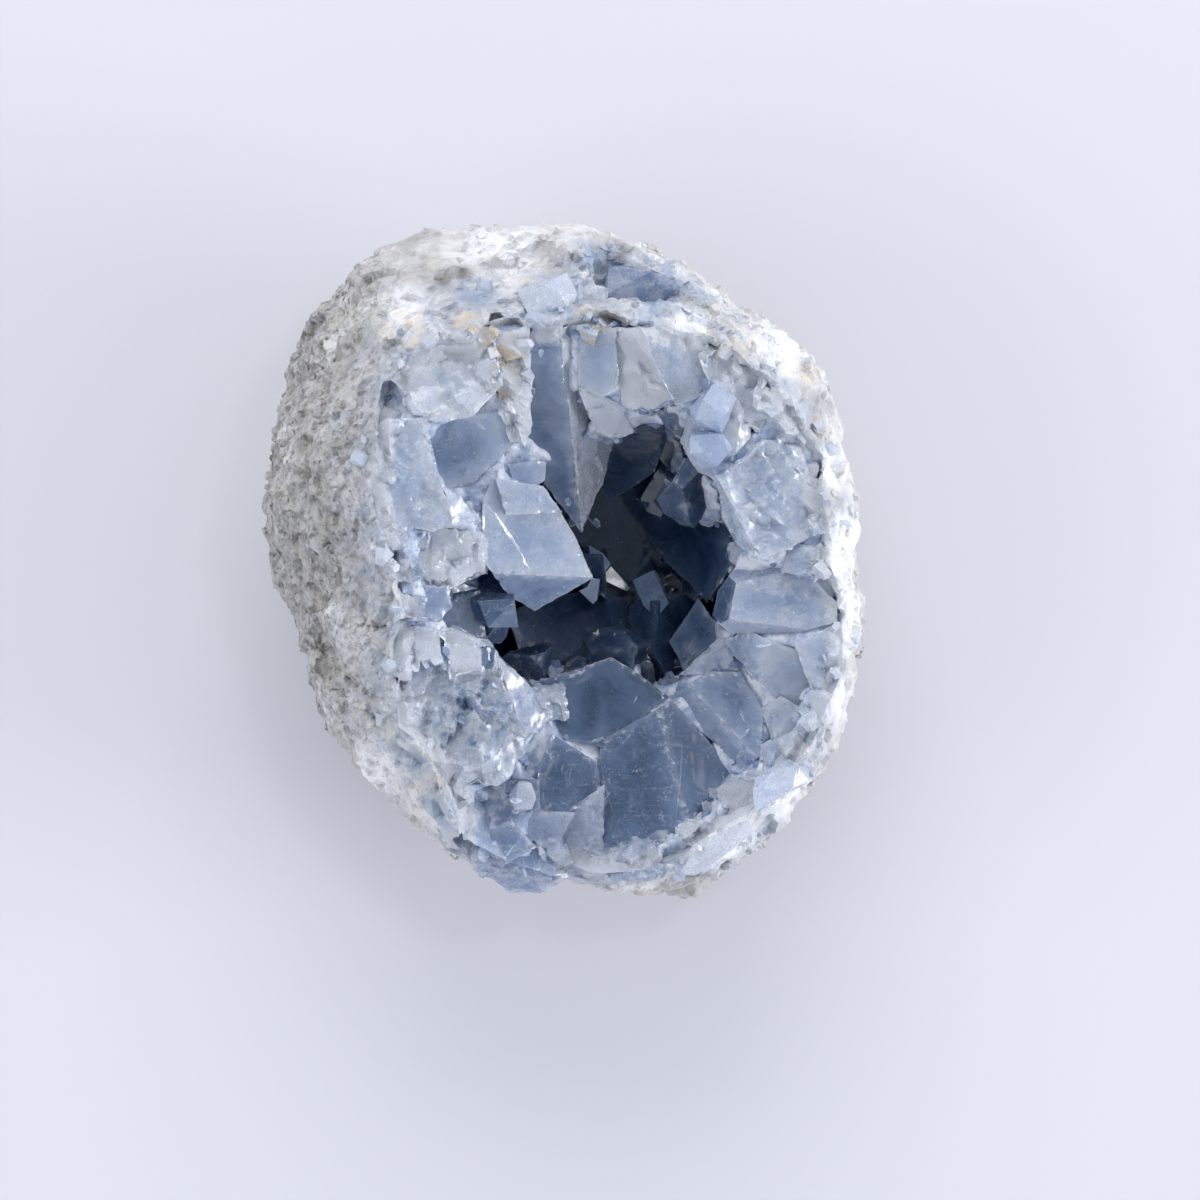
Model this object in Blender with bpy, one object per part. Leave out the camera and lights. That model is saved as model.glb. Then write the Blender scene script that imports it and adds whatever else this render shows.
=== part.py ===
"""Celestite geode, broken open at the top and resting on its rounded underside.

A rough rock rind is lined with one crust of blue celestite crystals around a deep hollow.
Metres, +Z up. The origin is under the middle of the stone, on the surface it rests on.
"""

import math
import random
from dataclasses import dataclass

import bmesh
import bpy
from mathutils import Matrix, Vector, noise

MM = 0.001

# The stone as a whole, in millimetres.
WIDEST_HEIGHT = 30.0  # level of the widest girth
CROWN_RISE = 36.0  # from the girth to the crown that has broken away
BELLY_DROP = 31.2  # from the girth to the lowest point before the foot is worn flat
SHOULDER_FULLNESS = 0.85  # under 1 makes the sides fuller than an ellipse
CRUST_GAP = 0.3  # between the rind and the crystals
LUMP_HEIGHT = 1.5
LUMP_LENGTH = 17.0
CHIP_TILT = 2.1  # how steeply the broken facets of the outside lean against one another
CHIP_LENGTH = 9.0

# Radii every 15 degrees, anticlockwise from +X: the girth seen from above, and the edge of the crystals.
GIRTH_RADII = (
    44.1, 44.7, 47.2, 48.8, 48.0, 49.0, 50.2, 51.5, 54.3, 52.0, 50.4, 45.3,
    41.6, 40.4, 41.4, 43.1, 43.8, 47.6, 47.4, 51.9, 51.0, 49.4, 50.1, 46.5,
)
CUP_RADII = (
    40.0, 40.4, 40.2, 40.0, 39.3, 37.0, 36.6, 36.8, 37.5, 37.1, 33.0, 28.8,
    25.5, 25.2, 28.5, 34.0, 37.0, 43.0, 45.2, 46.5, 46.5, 45.6, 45.0, 42.6,
)

# The cup that holds the crystals, and the hollow between them.
CUP_FLOOR = 9.0
CUP_WALL_START = 40.0
CUP_FULLNESS = 0.62
CUP_TOP = 80.0
HOLLOW_CENTRE = (10.0, -3.5)
HOLLOW_FLOOR = 15.0
HOLLOW_BULGE = 1.14  # how far the wall is undercut below the mouth
MOUTH_RADII = (17.0, 18.0, 22.0, 27.0, 25.0, 24.0, 22.0, 22.0, 17.0, 15.0, 15.0, 16.0)
MOUTH_HEIGHTS = (36.0, 38.0, 40.0, 40.0, 37.0, 41.0, 44.0, 40.0, 30.0, 28.0, 28.0, 32.0)
RIM_SINK = 1.4  # the crust's outer edge lies this far under the rind's
SHOULDER_SINK = 5.5  # the crust's bed dips this far between its edge and the mouth
RAGGEDNESS = 1.5  # how far the edge between rock and crystal strays from its smooth line
RAGGED_LENGTH = 0.16  # of the strays, as a share of the radius

WELD = 0.02  # points nearer than this are one point
GIRTH_STEPS = 58
BELLY_STEPS = 10
CROWN_STEPS = 11
CUP_STEPS = 48
CUP_LEVELS = 5
CRUST_STEPS = 36


def round_value(values, angle):
    """A value read from an evenly spaced ring of values, smoothly between them."""
    place = angle / math.tau * len(values)
    first = math.floor(place)
    share = place - first
    before, here, there, after = (values[(first + k) % len(values)] for k in (-1, 0, 1, 2))
    bend = (there - before) * 0.5, (after - here) * 0.5
    return (
        here * (1 + share * share * (2 * share - 3))
        + there * share * share * (3 - 2 * share)
        + bend[0] * share * (1 - share) ** 2
        - bend[1] * share * share * (1 - share)
    )


def lumps(point):
    """Height of the lumps and broken facets at a point of the outside, in millimetres."""
    broad = noise.noise(point / LUMP_LENGTH + Vector((3.1, 7.7, 1.3)))
    place = point / CHIP_LENGTH + Vector((9.4, 2.2, 5.8))
    chip = noise.voronoi(place)[1][0]
    lean = noise.cell_vector(chip * 37.1) - Vector((0.5, 0.5, 0.5))
    return broad * LUMP_HEIGHT * 2 + (place - chip).dot(lean) * CHIP_TILT


def outside_point(angle, latitude):
    """A point of the outside, at an angle round the stone and a latitude from -90 to 90 degrees."""
    girth = round_value(GIRTH_RADII, angle)
    reach = math.cos(latitude) ** SHOULDER_FULLNESS
    rise = CROWN_RISE if latitude > 0 else BELLY_DROP
    radial = Vector((math.cos(angle), math.sin(angle), 0))
    point = radial * girth * reach + Vector((0, 0, WIDEST_HEIGHT + rise * math.sin(latitude)))
    normal = (radial * math.cos(latitude) + Vector((0, 0, math.sin(latitude)))).normalized()
    return point + normal * lumps(point)


def cup_edge(angle):
    """Radius of the ragged edge between rock and crystal."""
    around = Vector((math.cos(angle), math.sin(angle), 4.4)) / RAGGED_LENGTH
    return round_value(CUP_RADII, angle) + noise.noise(around) * RAGGEDNESS * 2


def cup_reach(height):
    """Share of the cup's full radius at a height: a rounded floor, then straight walls."""
    if height >= CUP_WALL_START:
        return 1.0
    depth = (CUP_WALL_START - height) / (CUP_WALL_START - CUP_FLOOR)
    return max(0.0, 1 - depth * depth) ** CUP_FULLNESS


def rind_rim_height(angle):
    """Height at which the cup's wall comes out through the crown."""
    share = cup_edge(angle) / round_value(GIRTH_RADII, angle)
    latitude = math.acos(min(1.0, share) ** (1 / SHOULDER_FULLNESS))
    return WIDEST_HEIGHT + CROWN_RISE * math.sin(latitude)


def stacked_rings(rings, bottom, top):
    """A closed mesh through rings of points, from a bottom point to a top point."""
    mesh = bmesh.new()
    rows = [[mesh.verts.new(p * MM) for p in ring] for ring in rings]
    ends = mesh.verts.new(bottom * MM), mesh.verts.new(top * MM)
    count = len(rows[0])
    for lower, upper in zip(rows, rows[1:]):
        for i in range(count):
            j = (i + 1) % count
            mesh.faces.new((lower[i], lower[j], upper[j], upper[i]))
    for i in range(count):
        j = (i + 1) % count
        mesh.faces.new((ends[0], rows[0][j], rows[0][i]))
        mesh.faces.new((ends[1], rows[-1][i], rows[-1][j]))
    bmesh.ops.triangulate(mesh, faces=mesh.faces)
    bmesh.ops.recalc_face_normals(mesh, faces=mesh.faces)
    return mesh


def ring_at(height, steps, radius, centre=(0.0, 0.0)):
    """One level ring whose radius is a function of the angle."""
    return [
        Vector((centre[0] + math.cos(a) * radius(a), centre[1] + math.sin(a) * radius(a), height))
        for a in (math.tau * i / steps for i in range(steps))
    ]


def cut_below(mesh, point, normal):
    """Keeps the side of a closed mesh that the plane's normal points away from, and closes the cut."""
    whole = mesh.verts[:] + mesh.edges[:] + mesh.faces[:]
    cut = bmesh.ops.bisect_plane(
        mesh, geom=whole, plane_co=point * MM, plane_no=normal, clear_outer=True, dist=1e-7
    )
    edges = [e for e in cut["geom_cut"] if isinstance(e, bmesh.types.BMEdge)]
    if edges:
        bmesh.ops.contextual_create(mesh, geom=edges)


def outside_mesh():
    """The whole stone before it broke open, with its foot worn flat."""
    latitudes = [-math.pi / 2 * (1 - i / BELLY_STEPS) for i in range(1, BELLY_STEPS)]
    latitudes += [math.pi / 2 * i / CROWN_STEPS for i in range(CROWN_STEPS)]
    angles = [math.tau * i / GIRTH_STEPS for i in range(GIRTH_STEPS)]
    rings = [[outside_point(a, latitude) for a in angles] for latitude in latitudes]
    ends = [outside_point(0, side * math.pi / 2 * 0.9999) for side in (-1, 1)]
    mesh = stacked_rings(rings, Vector((0, 0, ends[0].z)), Vector((0, 0, ends[1].z)))
    cut_below(mesh, Vector(), Vector((0, 0, -1)))
    return mesh


def cup_mesh(shrink):
    """The space inside the rind, carried straight up past the crown."""
    levels = [(i / CUP_LEVELS) ** 1.5 for i in range(1, CUP_LEVELS + 1)]
    heights = [CUP_FLOOR + (CUP_WALL_START - CUP_FLOOR) * level for level in levels]
    rings = [
        ring_at(h + shrink, CUP_STEPS, lambda a, h=h: cup_edge(a) * cup_reach(h) - shrink)
        for h in heights + [CUP_TOP]
    ]
    return stacked_rings(rings, Vector((0, 0, CUP_FLOOR + shrink)), Vector((0, 0, CUP_TOP + shrink)))


def crust_bed_mesh():
    """The massive crystal layer behind the free crystals: a thick bowl with the hollow in it."""
    outer = [
        ring_at(h + 0.1, CRUST_STEPS, lambda a, h=h: cup_edge(a) * cup_reach(h) + 0.9)
        for h in (CUP_FLOOR + d for d in (0.5, 4.0, 14.0))
    ]
    angles = [math.tau * i / CRUST_STEPS for i in range(CRUST_STEPS)]
    rim = [
        Vector((math.cos(a) * edge, math.sin(a) * edge, rind_rim_height(a) - RIM_SINK))
        for a, edge in ((a, cup_edge(a) + 0.9) for a in angles)
    ]

    def hollow_ring(share, drop):
        """A ring round the hollow: share 1 is the mouth, and drop runs from the mouth to the floor."""
        ring = []
        for a in angles:
            mouth = round_value(MOUTH_HEIGHTS, a)
            radius = round_value(MOUTH_RADII, a) * share
            ring.append(
                Vector((
                    HOLLOW_CENTRE[0] + math.cos(a) * radius,
                    HOLLOW_CENTRE[1] + math.sin(a) * radius,
                    mouth + (HOLLOW_FLOOR - mouth) * drop,
                ))
            )
        return ring

    dip = Vector((0, 0, -SHOULDER_SINK))
    shoulder = [edge.lerp(lip, 0.32) + dip for edge, lip in zip(rim, hollow_ring(1.0, 0.0))]
    inner = [
        hollow_ring(share, drop)
        for share, drop in ((1.0, 0.0), (HOLLOW_BULGE, 0.3), (HOLLOW_BULGE, 0.6), (0.8, 0.9))
    ]
    bottom = Vector((0, 0, CUP_FLOOR - 0.3))
    top = Vector((HOLLOW_CENTRE[0], HOLLOW_CENTRE[1], HOLLOW_FLOOR))
    return stacked_rings(outer + [rim, shoulder] + inner, bottom, top)


@dataclass
class Crystal:
    """A crystal of the broken mouth or the hollow, as it is seen from above.

    outline: its convex outline, in millimetres. height: the top face's height at the outline's middle.
    slope: the top face's rise per millimetre towards +X and +Y. depth: how far the block runs down.
    bevels: further faces, each an (x, y) on the edge where it starts and its own slope.
    """

    outline: tuple
    height: float
    slope: tuple
    depth: float = 14.0
    bevels: tuple = ()

    def middle(self):
        count = len(self.outline)
        return sum(x for x, _ in self.outline) / count, sum(y for _, y in self.outline) / count

    def top_at(self, x, y):
        middle = self.middle()
        return self.height + self.slope[0] * (x - middle[0]) + self.slope[1] * (y - middle[1])


FLARE = 0.006  # how much a crystal widens for each millimetre above its root

CRYSTALS = {
    "tall_blade": Crystal(
        ((-4.0, 34.0), (2.7, 34.5), (8.9, 19.4), (3.3, 3.4), (-2.7, 11.7), (-6.3, 17.3), (-6.1, 24.0)),
        44.5, (-0.05, 0.68), 17.0, (((2.3, 12.0), (-1.7, 0.5)),),
    ),
    "top_window": Crystal(
        ((2.4, 35.0), (7.9, 34.4), (8.5, 26.9), (6.0, 24.4), (2.4, 26.2)),
        50.5, (0.12, 0.42), 12.0,
    ),
    "top_veil": Crystal(
        ((2.5, 26.2), (6.0, 24.8), (9.2, 23.8), (11.3, 19.5), (8.9, 18.6), (5.0, 19.6)),
        45.0, (-0.25, 0.75), 9.0,
    ),
    "light_blade": Crystal(
        ((7.9, 34.6), (11.4, 34.0), (16.9, 23.9), (13.3, 22.4), (9.2, 23.9), (8.1, 27.0)),
        50.0, (0.42, 0.55), 13.0,
    ),
    "roof_face": Crystal(
        ((11.2, 34.0), (14.9, 35.5), (20.0, 34.4), (23.0, 31.0), (20.3, 24.6), (17.0, 23.3), (13.7, 27.0)),
        50.5, (-0.22, 0.3), 12.0,
    ),
    "striped_chip": Crystal(
        ((13.8, 23.0), (18.1, 23.4), (17.8, 18.8), (15.7, 19.9)), 42.0, (0.5, 0.6), 6.0,
    ),
    "clear_drop": Crystal(
        ((18.5, 22.9), (20.4, 25.2), (24.5, 26.2), (27.0, 23.0), (28.4, 19.0), (23.4, 13.0),
         (20.3, 13.3), (17.6, 17.9)),
        48.2, (0.06, 0.16), 11.0,
        (((20.6, 18.0), (1.5, 0.1)), ((23.0, 16.2), (-0.1, 1.3)), ((26.3, 20.0), (-0.9, 0.3))),
    ),
    "upper_right_block": Crystal(
        ((20.0, 31.0), (29.1, 33.5), (32.6, 26.0), (29.5, 18.6), (22.6, 23.5)), 48.6, (-0.3, 0.1),
    ),
    "right_shoulder_block": Crystal(
        ((31.0, 31.5), (36.6, 29.0), (39.4, 21.8), (36.0, 17.8), (30.8, 22.6)), 46.4, (-0.42, 0.12),
    ),
    "milky_right": Crystal(
        ((23.2, 12.9), (29.7, 18.6), (35.2, 18.0), (39.3, 10.5), (37.6, 4.3), (35.2, 3.0),
         (30.2, 0.6), (26.0, 2.6), (24.0, 6.8)),
        45.8, (-0.2, 0.06), 13.0, (((26.6, 6.0), (1.1, 0.7)), ((34.8, 14.0), (-0.5, -0.2))),
    ),
    "small_block": Crystal(
        ((32.0, 3.2), (35.6, 3.5), (36.2, 0.2), (32.6, -1.5)), 43.0, (0.22, -0.25), 9.0,
    ),
    "round_right": Crystal(
        ((22.3, -7.6), (23.1, -3.8), (25.5, -0.7), (29.8, 0.7), (37.2, -1.8), (41.0, -5.6),
         (41.0, -8.6), (35.0, -10.3), (25.4, -10.5)),
        42.6, (-0.06, 0.02), 12.0,
        (((25.4, -5.0), (1.0, -0.2)), ((28.0, -2.2), (0.2, -1.1)), ((30.0, -8.8), (0.1, 1.2))),
    ),
    "step_small": Crystal(
        ((24.0, -10.3), (26.4, -15.8), (22.0, -16.3), (17.3, -16.6)), 33.6, (0.42, 0.3), 9.0,
    ),
    "fan_face": Crystal(
        ((15.7, -19.7), (22.0, -15.8), (26.6, -15.9), (30.1, -21.8), (29.5, -28.2), (27.0, -30.6),
         (19.6, -23.9)),
        36.6, (0.2, -0.28), 12.0, (((22.6, -22.0), (0.85, 0.35)),),
    ),
    "right_slab": Crystal(
        ((23.8, -11.0), (27.9, -9.9), (35.6, -13.0), (40.4, -20.7), (36.5, -22.2), (32.4, -20.0),
         (28.8, -17.0)),
        40.2, (-0.06, 0.4), 12.0, (((30.2, -13.5), (0.75, 0.25)),),
    ),
    "blue_wedge": Crystal(
        ((29.6, -21.3), (32.6, -19.5), (37.4, -22.2), (38.4, -25.4), (34.0, -29.5), (31.6, -27.0)),
        38.6, (0.3, 0.22), 11.0,
    ),
    "rim_slab": Crystal(
        ((34.4, -11.6), (42.6, -7.9), (42.6, -14.9), (40.6, -21.0), (37.4, -19.5)), 41.6, (-0.26, 0.12),
    ),
    "chipped_rim": Crystal(
        ((26.7, -30.8), (31.5, -29.5), (36.0, -27.2), (40.6, -24.0), (41.0, -28.0), (34.6, -36.0),
         (28.8, -36.3)),
        40.6, (-0.12, -0.1),
    ),
    "dark_slab": Crystal(
        ((-4.7, -18.0), (7.4, -13.7), (11.8, -16.4), (16.1, -19.7), (6.4, -27.4), (0.6, -26.0)),
        33.4, (-0.2, -0.24), 13.0,
    ),
    "pale_strip": Crystal(
        ((-5.0, -18.3), (0.0, -17.8), (0.6, -22.6), (-2.2, -23.6)), 37.0, (-0.42, -0.16), 10.0,
    ),
    "great_block": Crystal(
        ((5.9, -25.9), (16.5, -20.0), (23.4, -27.4), (27.2, -32.6), (28.2, -39.4), (21.0, -45.0),
         (11.6, -46.0), (3.6, -42.3), (3.9, -33.8)),
        37.8, (0.13, -0.2), 15.0, (((17.0, -32.0), (-0.3, -0.3)), ((17.0, -41.5), (0.0, 0.7))),
    ),
    "left_facet": Crystal(
        ((-1.4, -25.2), (5.3, -29.4), (6.1, -33.8), (3.2, -38.0), (-4.0, -37.6), (-3.8, -30.8)),
        38.2, (-0.24, -0.12), 12.0,
    ),
    "clear_cube": Crystal(
        ((-8.4, -32.0), (-3.3, -31.8), (-3.1, -36.5), (-6.9, -36.9)), 42.2, (0.1, 0.12), 8.0,
    ),
    "lower_face": Crystal(
        ((-2.6, -41.0), (1.6, -36.0), (6.2, -33.0), (6.2, -46.0), (0.8, -47.6)), 38.0, (0.12, 0.2), 12.0,
    ),
    "corner_prism": Crystal(
        ((-13.6, -38.4), (-8.4, -38.9), (0.6, -47.0), (-3.2, -49.2), (-7.6, -49.0), (-12.6, -45.5)),
        38.9, (-0.1, 0.28), 10.0, (((-4.6, -46.6), (0.1, 0.95)),),
    ),
    "broken_white": Crystal(
        ((-9.0, -39.0), (-7.0, -36.6), (2.2, -36.8), (-0.8, -42.8)), 40.0, (-0.04, 0.14), 10.0,
    ),
    "frosted_block": Crystal(
        ((-26.0, -25.5), (-23.4, -15.3), (-17.7, -11.6), (-9.5, -13.0), (-4.7, -17.6), (-1.8, -22.2),
         (-4.5, -25.8), (-9.2, -32.8), (-18.5, -33.2)),
        50.4, (-0.2, 0.1), 16.0,
        (((-7.0, -21.0), (-0.75, -0.1)), ((-8.5, -27.0), (-0.7, 0.7)), ((-14.5, -29.5), (-0.1, 0.9))),
    ),
    "bright_knob": Crystal(
        ((-22.9, -10.2), (-21.9, -9.0), (-17.7, -9.6), (-17.5, -14.2), (-22.4, -15.2)),
        55.0, (-0.12, 0.05), 8.0,
    ),
    "clear_knob": Crystal(
        ((-17.8, -9.6), (-16.2, -9.1), (-9.7, -12.7), (-10.3, -15.6), (-16.6, -17.3)),
        52.9, (-0.22, 0.05), 9.0, (((-11.6, -14.0), (-1.1, 0.1)),),
    ),
    "small_pale": Crystal(
        ((-22.9, -6.5), (-20.6, -2.7), (-16.0, -3.1), (-15.9, -6.2), (-18.0, -8.6)),
        54.6, (-0.36, 0.1), 9.0,
    ),
    "milky_left": Crystal(
        ((-23.0, 2.2), (-19.0, 5.3), (-12.6, 4.9), (-11.0, 3.0), (-11.0, -1.4), (-15.6, -3.5),
         (-22.4, -2.4)),
        54.2, (-0.2, 0.1), 12.0,
    ),
    "bright_slab": Crystal(
        ((-11.5, 9.2), (-10.3, 12.8), (-2.4, 11.4), (2.2, 4.2), (4.9, -2.2), (-4.0, -7.4),
         (-8.0, -4.8), (-11.6, 0.8)),
        47.6, (-0.34, 0.16), 15.0, (((-2.0, -1.7), (-0.3, 1.25)),),
    ),
    "slab_step": Crystal(
        ((-9.6, 12.6), (-2.6, 11.6), (0.2, 7.6), (-8.2, 7.2)), 50.2, (-0.3, 0.2), 7.0,
    ),
    "dark_recess": Crystal(
        ((-19.4, 21.4), (-14.3, 21.8), (-7.5, 22.6), (-7.0, 17.7), (-10.4, 14.2), (-13.4, 11.4),
         (-17.5, 11.2), (-19.8, 16.8)),
        51.6, (-0.14, 0.3), 12.0,
    ),
    "nub": Crystal(
        ((-8.0, 14.8), (-2.2, 15.6), (-2.4, 12.4), (-4.8, 11.1), (-7.1, 12.2)), 46.6, (-0.3, 0.3), 8.0,
    ),
    "upper_left_window": Crystal(
        ((-22.6, 32.6), (-19.4, 35.0), (-14.0, 35.6), (-9.8, 34.4), (-8.6, 26.2), (-13.8, 21.2),
         (-20.0, 21.2), (-25.0, 27.0)),
        56.3, (-0.06, -0.05), 12.0,
    ),
    "white_ridge": Crystal(
        ((-9.6, 33.6), (-4.6, 35.0), (-5.6, 17.6), (-7.4, 18.0), (-9.4, 24.0)), 53.4, (-0.14, 0.26), 12.0,
    ),
    "left_block": Crystal(
        ((-32.0, 19.6), (-20.0, 21.6), (-17.2, 11.0), (-12.3, 6.4), (-18.8, 4.8), (-31.0, 5.4)),
        57.2, (-0.1, 0.02), 12.0, (((-16.8, 9.0), (-0.8, -0.2)),),
    ),
    "left_lower_block": Crystal(
        ((-27.0, 2.6), (-22.3, -0.8), (-21.8, -9.6), (-22.4, -16.8), (-25.4, -16.4), (-27.2, -5.3)),
        55.9, (0.02, 0.06), 10.0,
    ),
    "rim_patch": Crystal(
        ((16.2, -40.6), (20.5, -38.2), (27.8, -38.8), (28.6, -41.6), (24.0, -45.4), (17.0, -44.6)),
        41.4, (-0.02, 0.12), 8.0,
    ),
    "deep_right": Crystal(
        ((8.5, 10.0), (14.0, 17.0), (24.0, 15.0), (27.0, 3.0), (21.8, -5.6), (15.4, 0.6)),
        25.5, (0.85, 0.12), 16.0,
    ),
    "deep_left": Crystal(
        ((-8.0, -7.0), (4.2, -3.2), (11.4, -5.5), (15.6, -12.8), (11.5, -16.2), (-4.0, -18.4)),
        22.5, (-0.55, -0.35), 13.0,
    ),
    "deep_glint": Crystal(
        ((10.6, -2.2), (14.1, -0.8), (16.6, -5.7), (14.1, -7.8), (11.5, -5.3)), 22.5, (-0.28, 0.3), 8.0,
    ),
    "deep_corner": Crystal(
        ((16.0, -11.5), (20.5, -5.0), (24.0, -10.0), (19.4, -17.0)), 28.5, (0.7, -0.2), 14.0,
    ),
    "deep_wedge": Crystal(
        ((2.2, 1.6), (6.2, 1.8), (7.0, -5.4), (3.2, -3.2)), 26.5, (-0.9, 0.3), 12.0,
    ),
    "deep_back": Crystal(
        ((2.0, 17.0), (9.5, 24.0), (16.5, 21.0), (14.0, 14.0), (7.0, 9.0)), 29.0, (0.1, 0.9), 16.0,
    ),
}

# Smaller crystals that grow from the hollow's wall towards its middle: (levels, count, size).
WALL_LEVELS = (0.4, 0.62, 0.84)
WALL_COUNTS = (10, 9, 6)
WALL_SIZE = 4.2
WALL_SEED = 11

# Broken stubs along the edge of the crust, between the large crystals and the rock.
STUB_COUNT = 28
STUB_SIZE = 3.4
STUB_SEED = 5
STUB_FREE = ((76, 102), (203, 226))  # degrees: stretches where large crystals run out to the rock

# Places where the rind's edge has broken away and a crystal shows to the outside: outline and floor.
NOTCHES = (
    (((-15.0, -36.0), (-8.0, -36.0), (3.0, -43.0), (4.0, -56.0), (-10.0, -56.0), (-16.4, -49.0)), 31.5),
)
NOTCH_RISE = 11.0  # the broken sides of a notch lean outwards over this height

# Flakes that have spalled from the outside of the rind: (angle, latitude) in degrees, radius and depth.
FLAKES = (
    ((74, 30), 9.5, 3.0),
    ((98, 30), 9.0, 1.4),
    ((111, 30), 3.2, 1.6),
    ((38, 24), 9.0, 1.5),
    ((150, 20), 12.0, 1.6),
    ((200, 24), 9.0, 1.5),
    ((232, -12), 13.0, 2.0),
    ((285, 6), 10.0, 1.8),
    ((330, -10), 12.0, 1.8),
    ((20, -20), 12.0, 1.8),
    ((110, -18), 13.0, 2.0),
    ((180, -25), 11.0, 1.7),
)


def block_mesh(crystal):
    """A crystal as a tapered prism on its outline, with its top cut by flat faces."""
    centre = Vector((*crystal.middle(), 0))
    mesh = bmesh.new()
    rows = []
    for level in (crystal.height - crystal.depth, CUP_TOP):
        scale = 1 + FLARE * (level - crystal.height)
        rows.append([
            mesh.verts.new((centre + (Vector((x, y, 0)) - centre) * scale + Vector((0, 0, level))) * MM)
            for x, y in crystal.outline
        ])
    count = len(crystal.outline)
    for i in range(count):
        j = (i + 1) % count
        mesh.faces.new((rows[0][i], rows[0][j], rows[1][j], rows[1][i]))
    mesh.faces.new(rows[0])
    mesh.faces.new(rows[1])
    bmesh.ops.recalc_face_normals(mesh, faces=mesh.faces)
    top = Vector((centre.x, centre.y, crystal.height))
    cut_below(mesh, top, Vector((-crystal.slope[0], -crystal.slope[1], 1)).normalized())
    for (x, y), slope in crystal.bevels:
        start = Vector((x, y, crystal.top_at(x, y)))
        cut_below(mesh, start, Vector((-slope[0], -slope[1], 1)).normalized())
    bmesh.ops.recalc_face_normals(mesh, faces=mesh.faces)
    return mesh


def wall_crystal_mesh(root, direction, size, chance):
    """A chisel-ended prism, the habit of celestite, growing from its root in a direction."""
    width = size * chance.uniform(0.75, 1.25)
    thickness = size * chance.uniform(0.5, 0.8)
    length = size * chance.uniform(1.3, 2.0)
    mesh = bmesh.new()
    bmesh.ops.create_cube(mesh, size=1.0)
    bmesh.ops.scale(mesh, verts=mesh.verts, vec=Vector((width, thickness, 2 * length)) * 2 * MM)
    bmesh.ops.translate(mesh, verts=mesh.verts, vec=Vector((0, 0, -length * 0.4)) * MM)
    tip = length * 1.4
    for side in (-1, 1):
        lean = chance.uniform(0.55, 0.95)
        cut_below(mesh, Vector((0, 0, tip)), Vector((side * lean, 0, 1)).normalized())
        lean = chance.uniform(0.3, 0.7)
        cut_below(mesh, Vector((0, side * thickness * 0.4, tip)), Vector((0, side * lean, 1)).normalized())
        corner = Vector((side * width * 0.8, width * 0.3, 0))
        cut_below(mesh, corner, Vector((side, chance.uniform(0.5, 0.9), 0.15)).normalized())
    turn = direction.to_track_quat("Z", "Y").to_matrix() @ Matrix.Rotation(chance.uniform(0, math.tau), 3, "Z")
    bmesh.ops.rotate(mesh, verts=mesh.verts, cent=Vector(), matrix=turn)
    bmesh.ops.translate(mesh, verts=mesh.verts, vec=root * MM)
    bmesh.ops.recalc_face_normals(mesh, faces=mesh.faces)
    return mesh


def wall_crystal_meshes():
    """Rings of small crystals on the hollow's wall, each pointing in and a little up."""
    chance = random.Random(WALL_SEED)
    for level, count in zip(WALL_LEVELS, WALL_COUNTS):
        offset = chance.uniform(0, math.tau)
        for i in range(count):
            angle = offset + math.tau * (i + chance.uniform(-0.25, 0.25)) / count
            mouth = round_value(MOUTH_HEIGHTS, angle)
            bulge = HOLLOW_BULGE if level < 0.75 else 0.85
            radius = round_value(MOUTH_RADII, angle) * bulge + 1.5
            height = mouth + (HOLLOW_FLOOR - mouth) * level
            radial = Vector((math.cos(angle), math.sin(angle), 0))
            root = Vector((*HOLLOW_CENTRE, height)) + radial * radius
            lift = chance.uniform(-0.1, 0.4) + level * 0.5
            turn = radial.orthogonal() * chance.uniform(-0.3, 0.3)
            direction = (-radial + Vector((0, 0, lift)) + turn).normalized()
            yield wall_crystal_mesh(root, direction, WALL_SIZE * chance.uniform(0.7, 1.3), chance)


def stub_crystals():
    """Small broken crystals round the edge of the crust, at about the height of the rock beside them."""
    chance = random.Random(STUB_SEED)
    for i in range(STUB_COUNT):
        angle = math.tau * (i + chance.uniform(-0.3, 0.3)) / STUB_COUNT
        size = STUB_SIZE * chance.uniform(0.7, 1.35)
        reach = cup_edge(angle) - size * chance.uniform(0.2, 0.9)
        height = rind_rim_height(angle) - chance.uniform(1.2, 3.4)
        corners = chance.choice((4, 5, 5, 6))
        turn = chance.uniform(0, math.tau)
        outline = tuple(
            (
                math.cos(angle) * reach + math.cos(turn + math.tau * k / corners) * size,
                math.sin(angle) * reach + math.sin(turn + math.tau * k / corners) * size * 0.8,
            )
            for k in range(corners)
        )
        slope = chance.uniform(-0.35, 0.35), chance.uniform(-0.35, 0.35)
        if not any(low < math.degrees(angle) < high for low, high in STUB_FREE):
            yield Crystal(outline, height, slope, 8.0)


def notch_mesh(outline, floor, shrink):
    """A cut with leaning sides, from a floor up past the crown."""
    middle = sum((Vector((x, y, 0)) for x, y in outline), Vector()) / len(outline)
    mesh = bmesh.new()
    rows = []
    for level, scale in ((floor, 0.55), (floor + NOTCH_RISE, 1.0), (CUP_TOP + 1, 1.0)):
        ring = []
        for x, y in outline:
            spoke = Vector((x, y, 0)) - middle
            corner = middle + spoke * scale - spoke.normalized() * shrink * 1.3
            ring.append(mesh.verts.new((corner + Vector((0, 0, level + shrink))) * MM))
        rows.append(ring)
    count = len(outline)
    for lower, upper in zip(rows, rows[1:]):
        for i in range(count):
            j = (i + 1) % count
            mesh.faces.new((lower[i], lower[j], upper[j], upper[i]))
    mesh.faces.new(rows[0])
    mesh.faces.new(rows[-1])
    bmesh.ops.recalc_face_normals(mesh, faces=mesh.faces)
    return mesh


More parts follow.
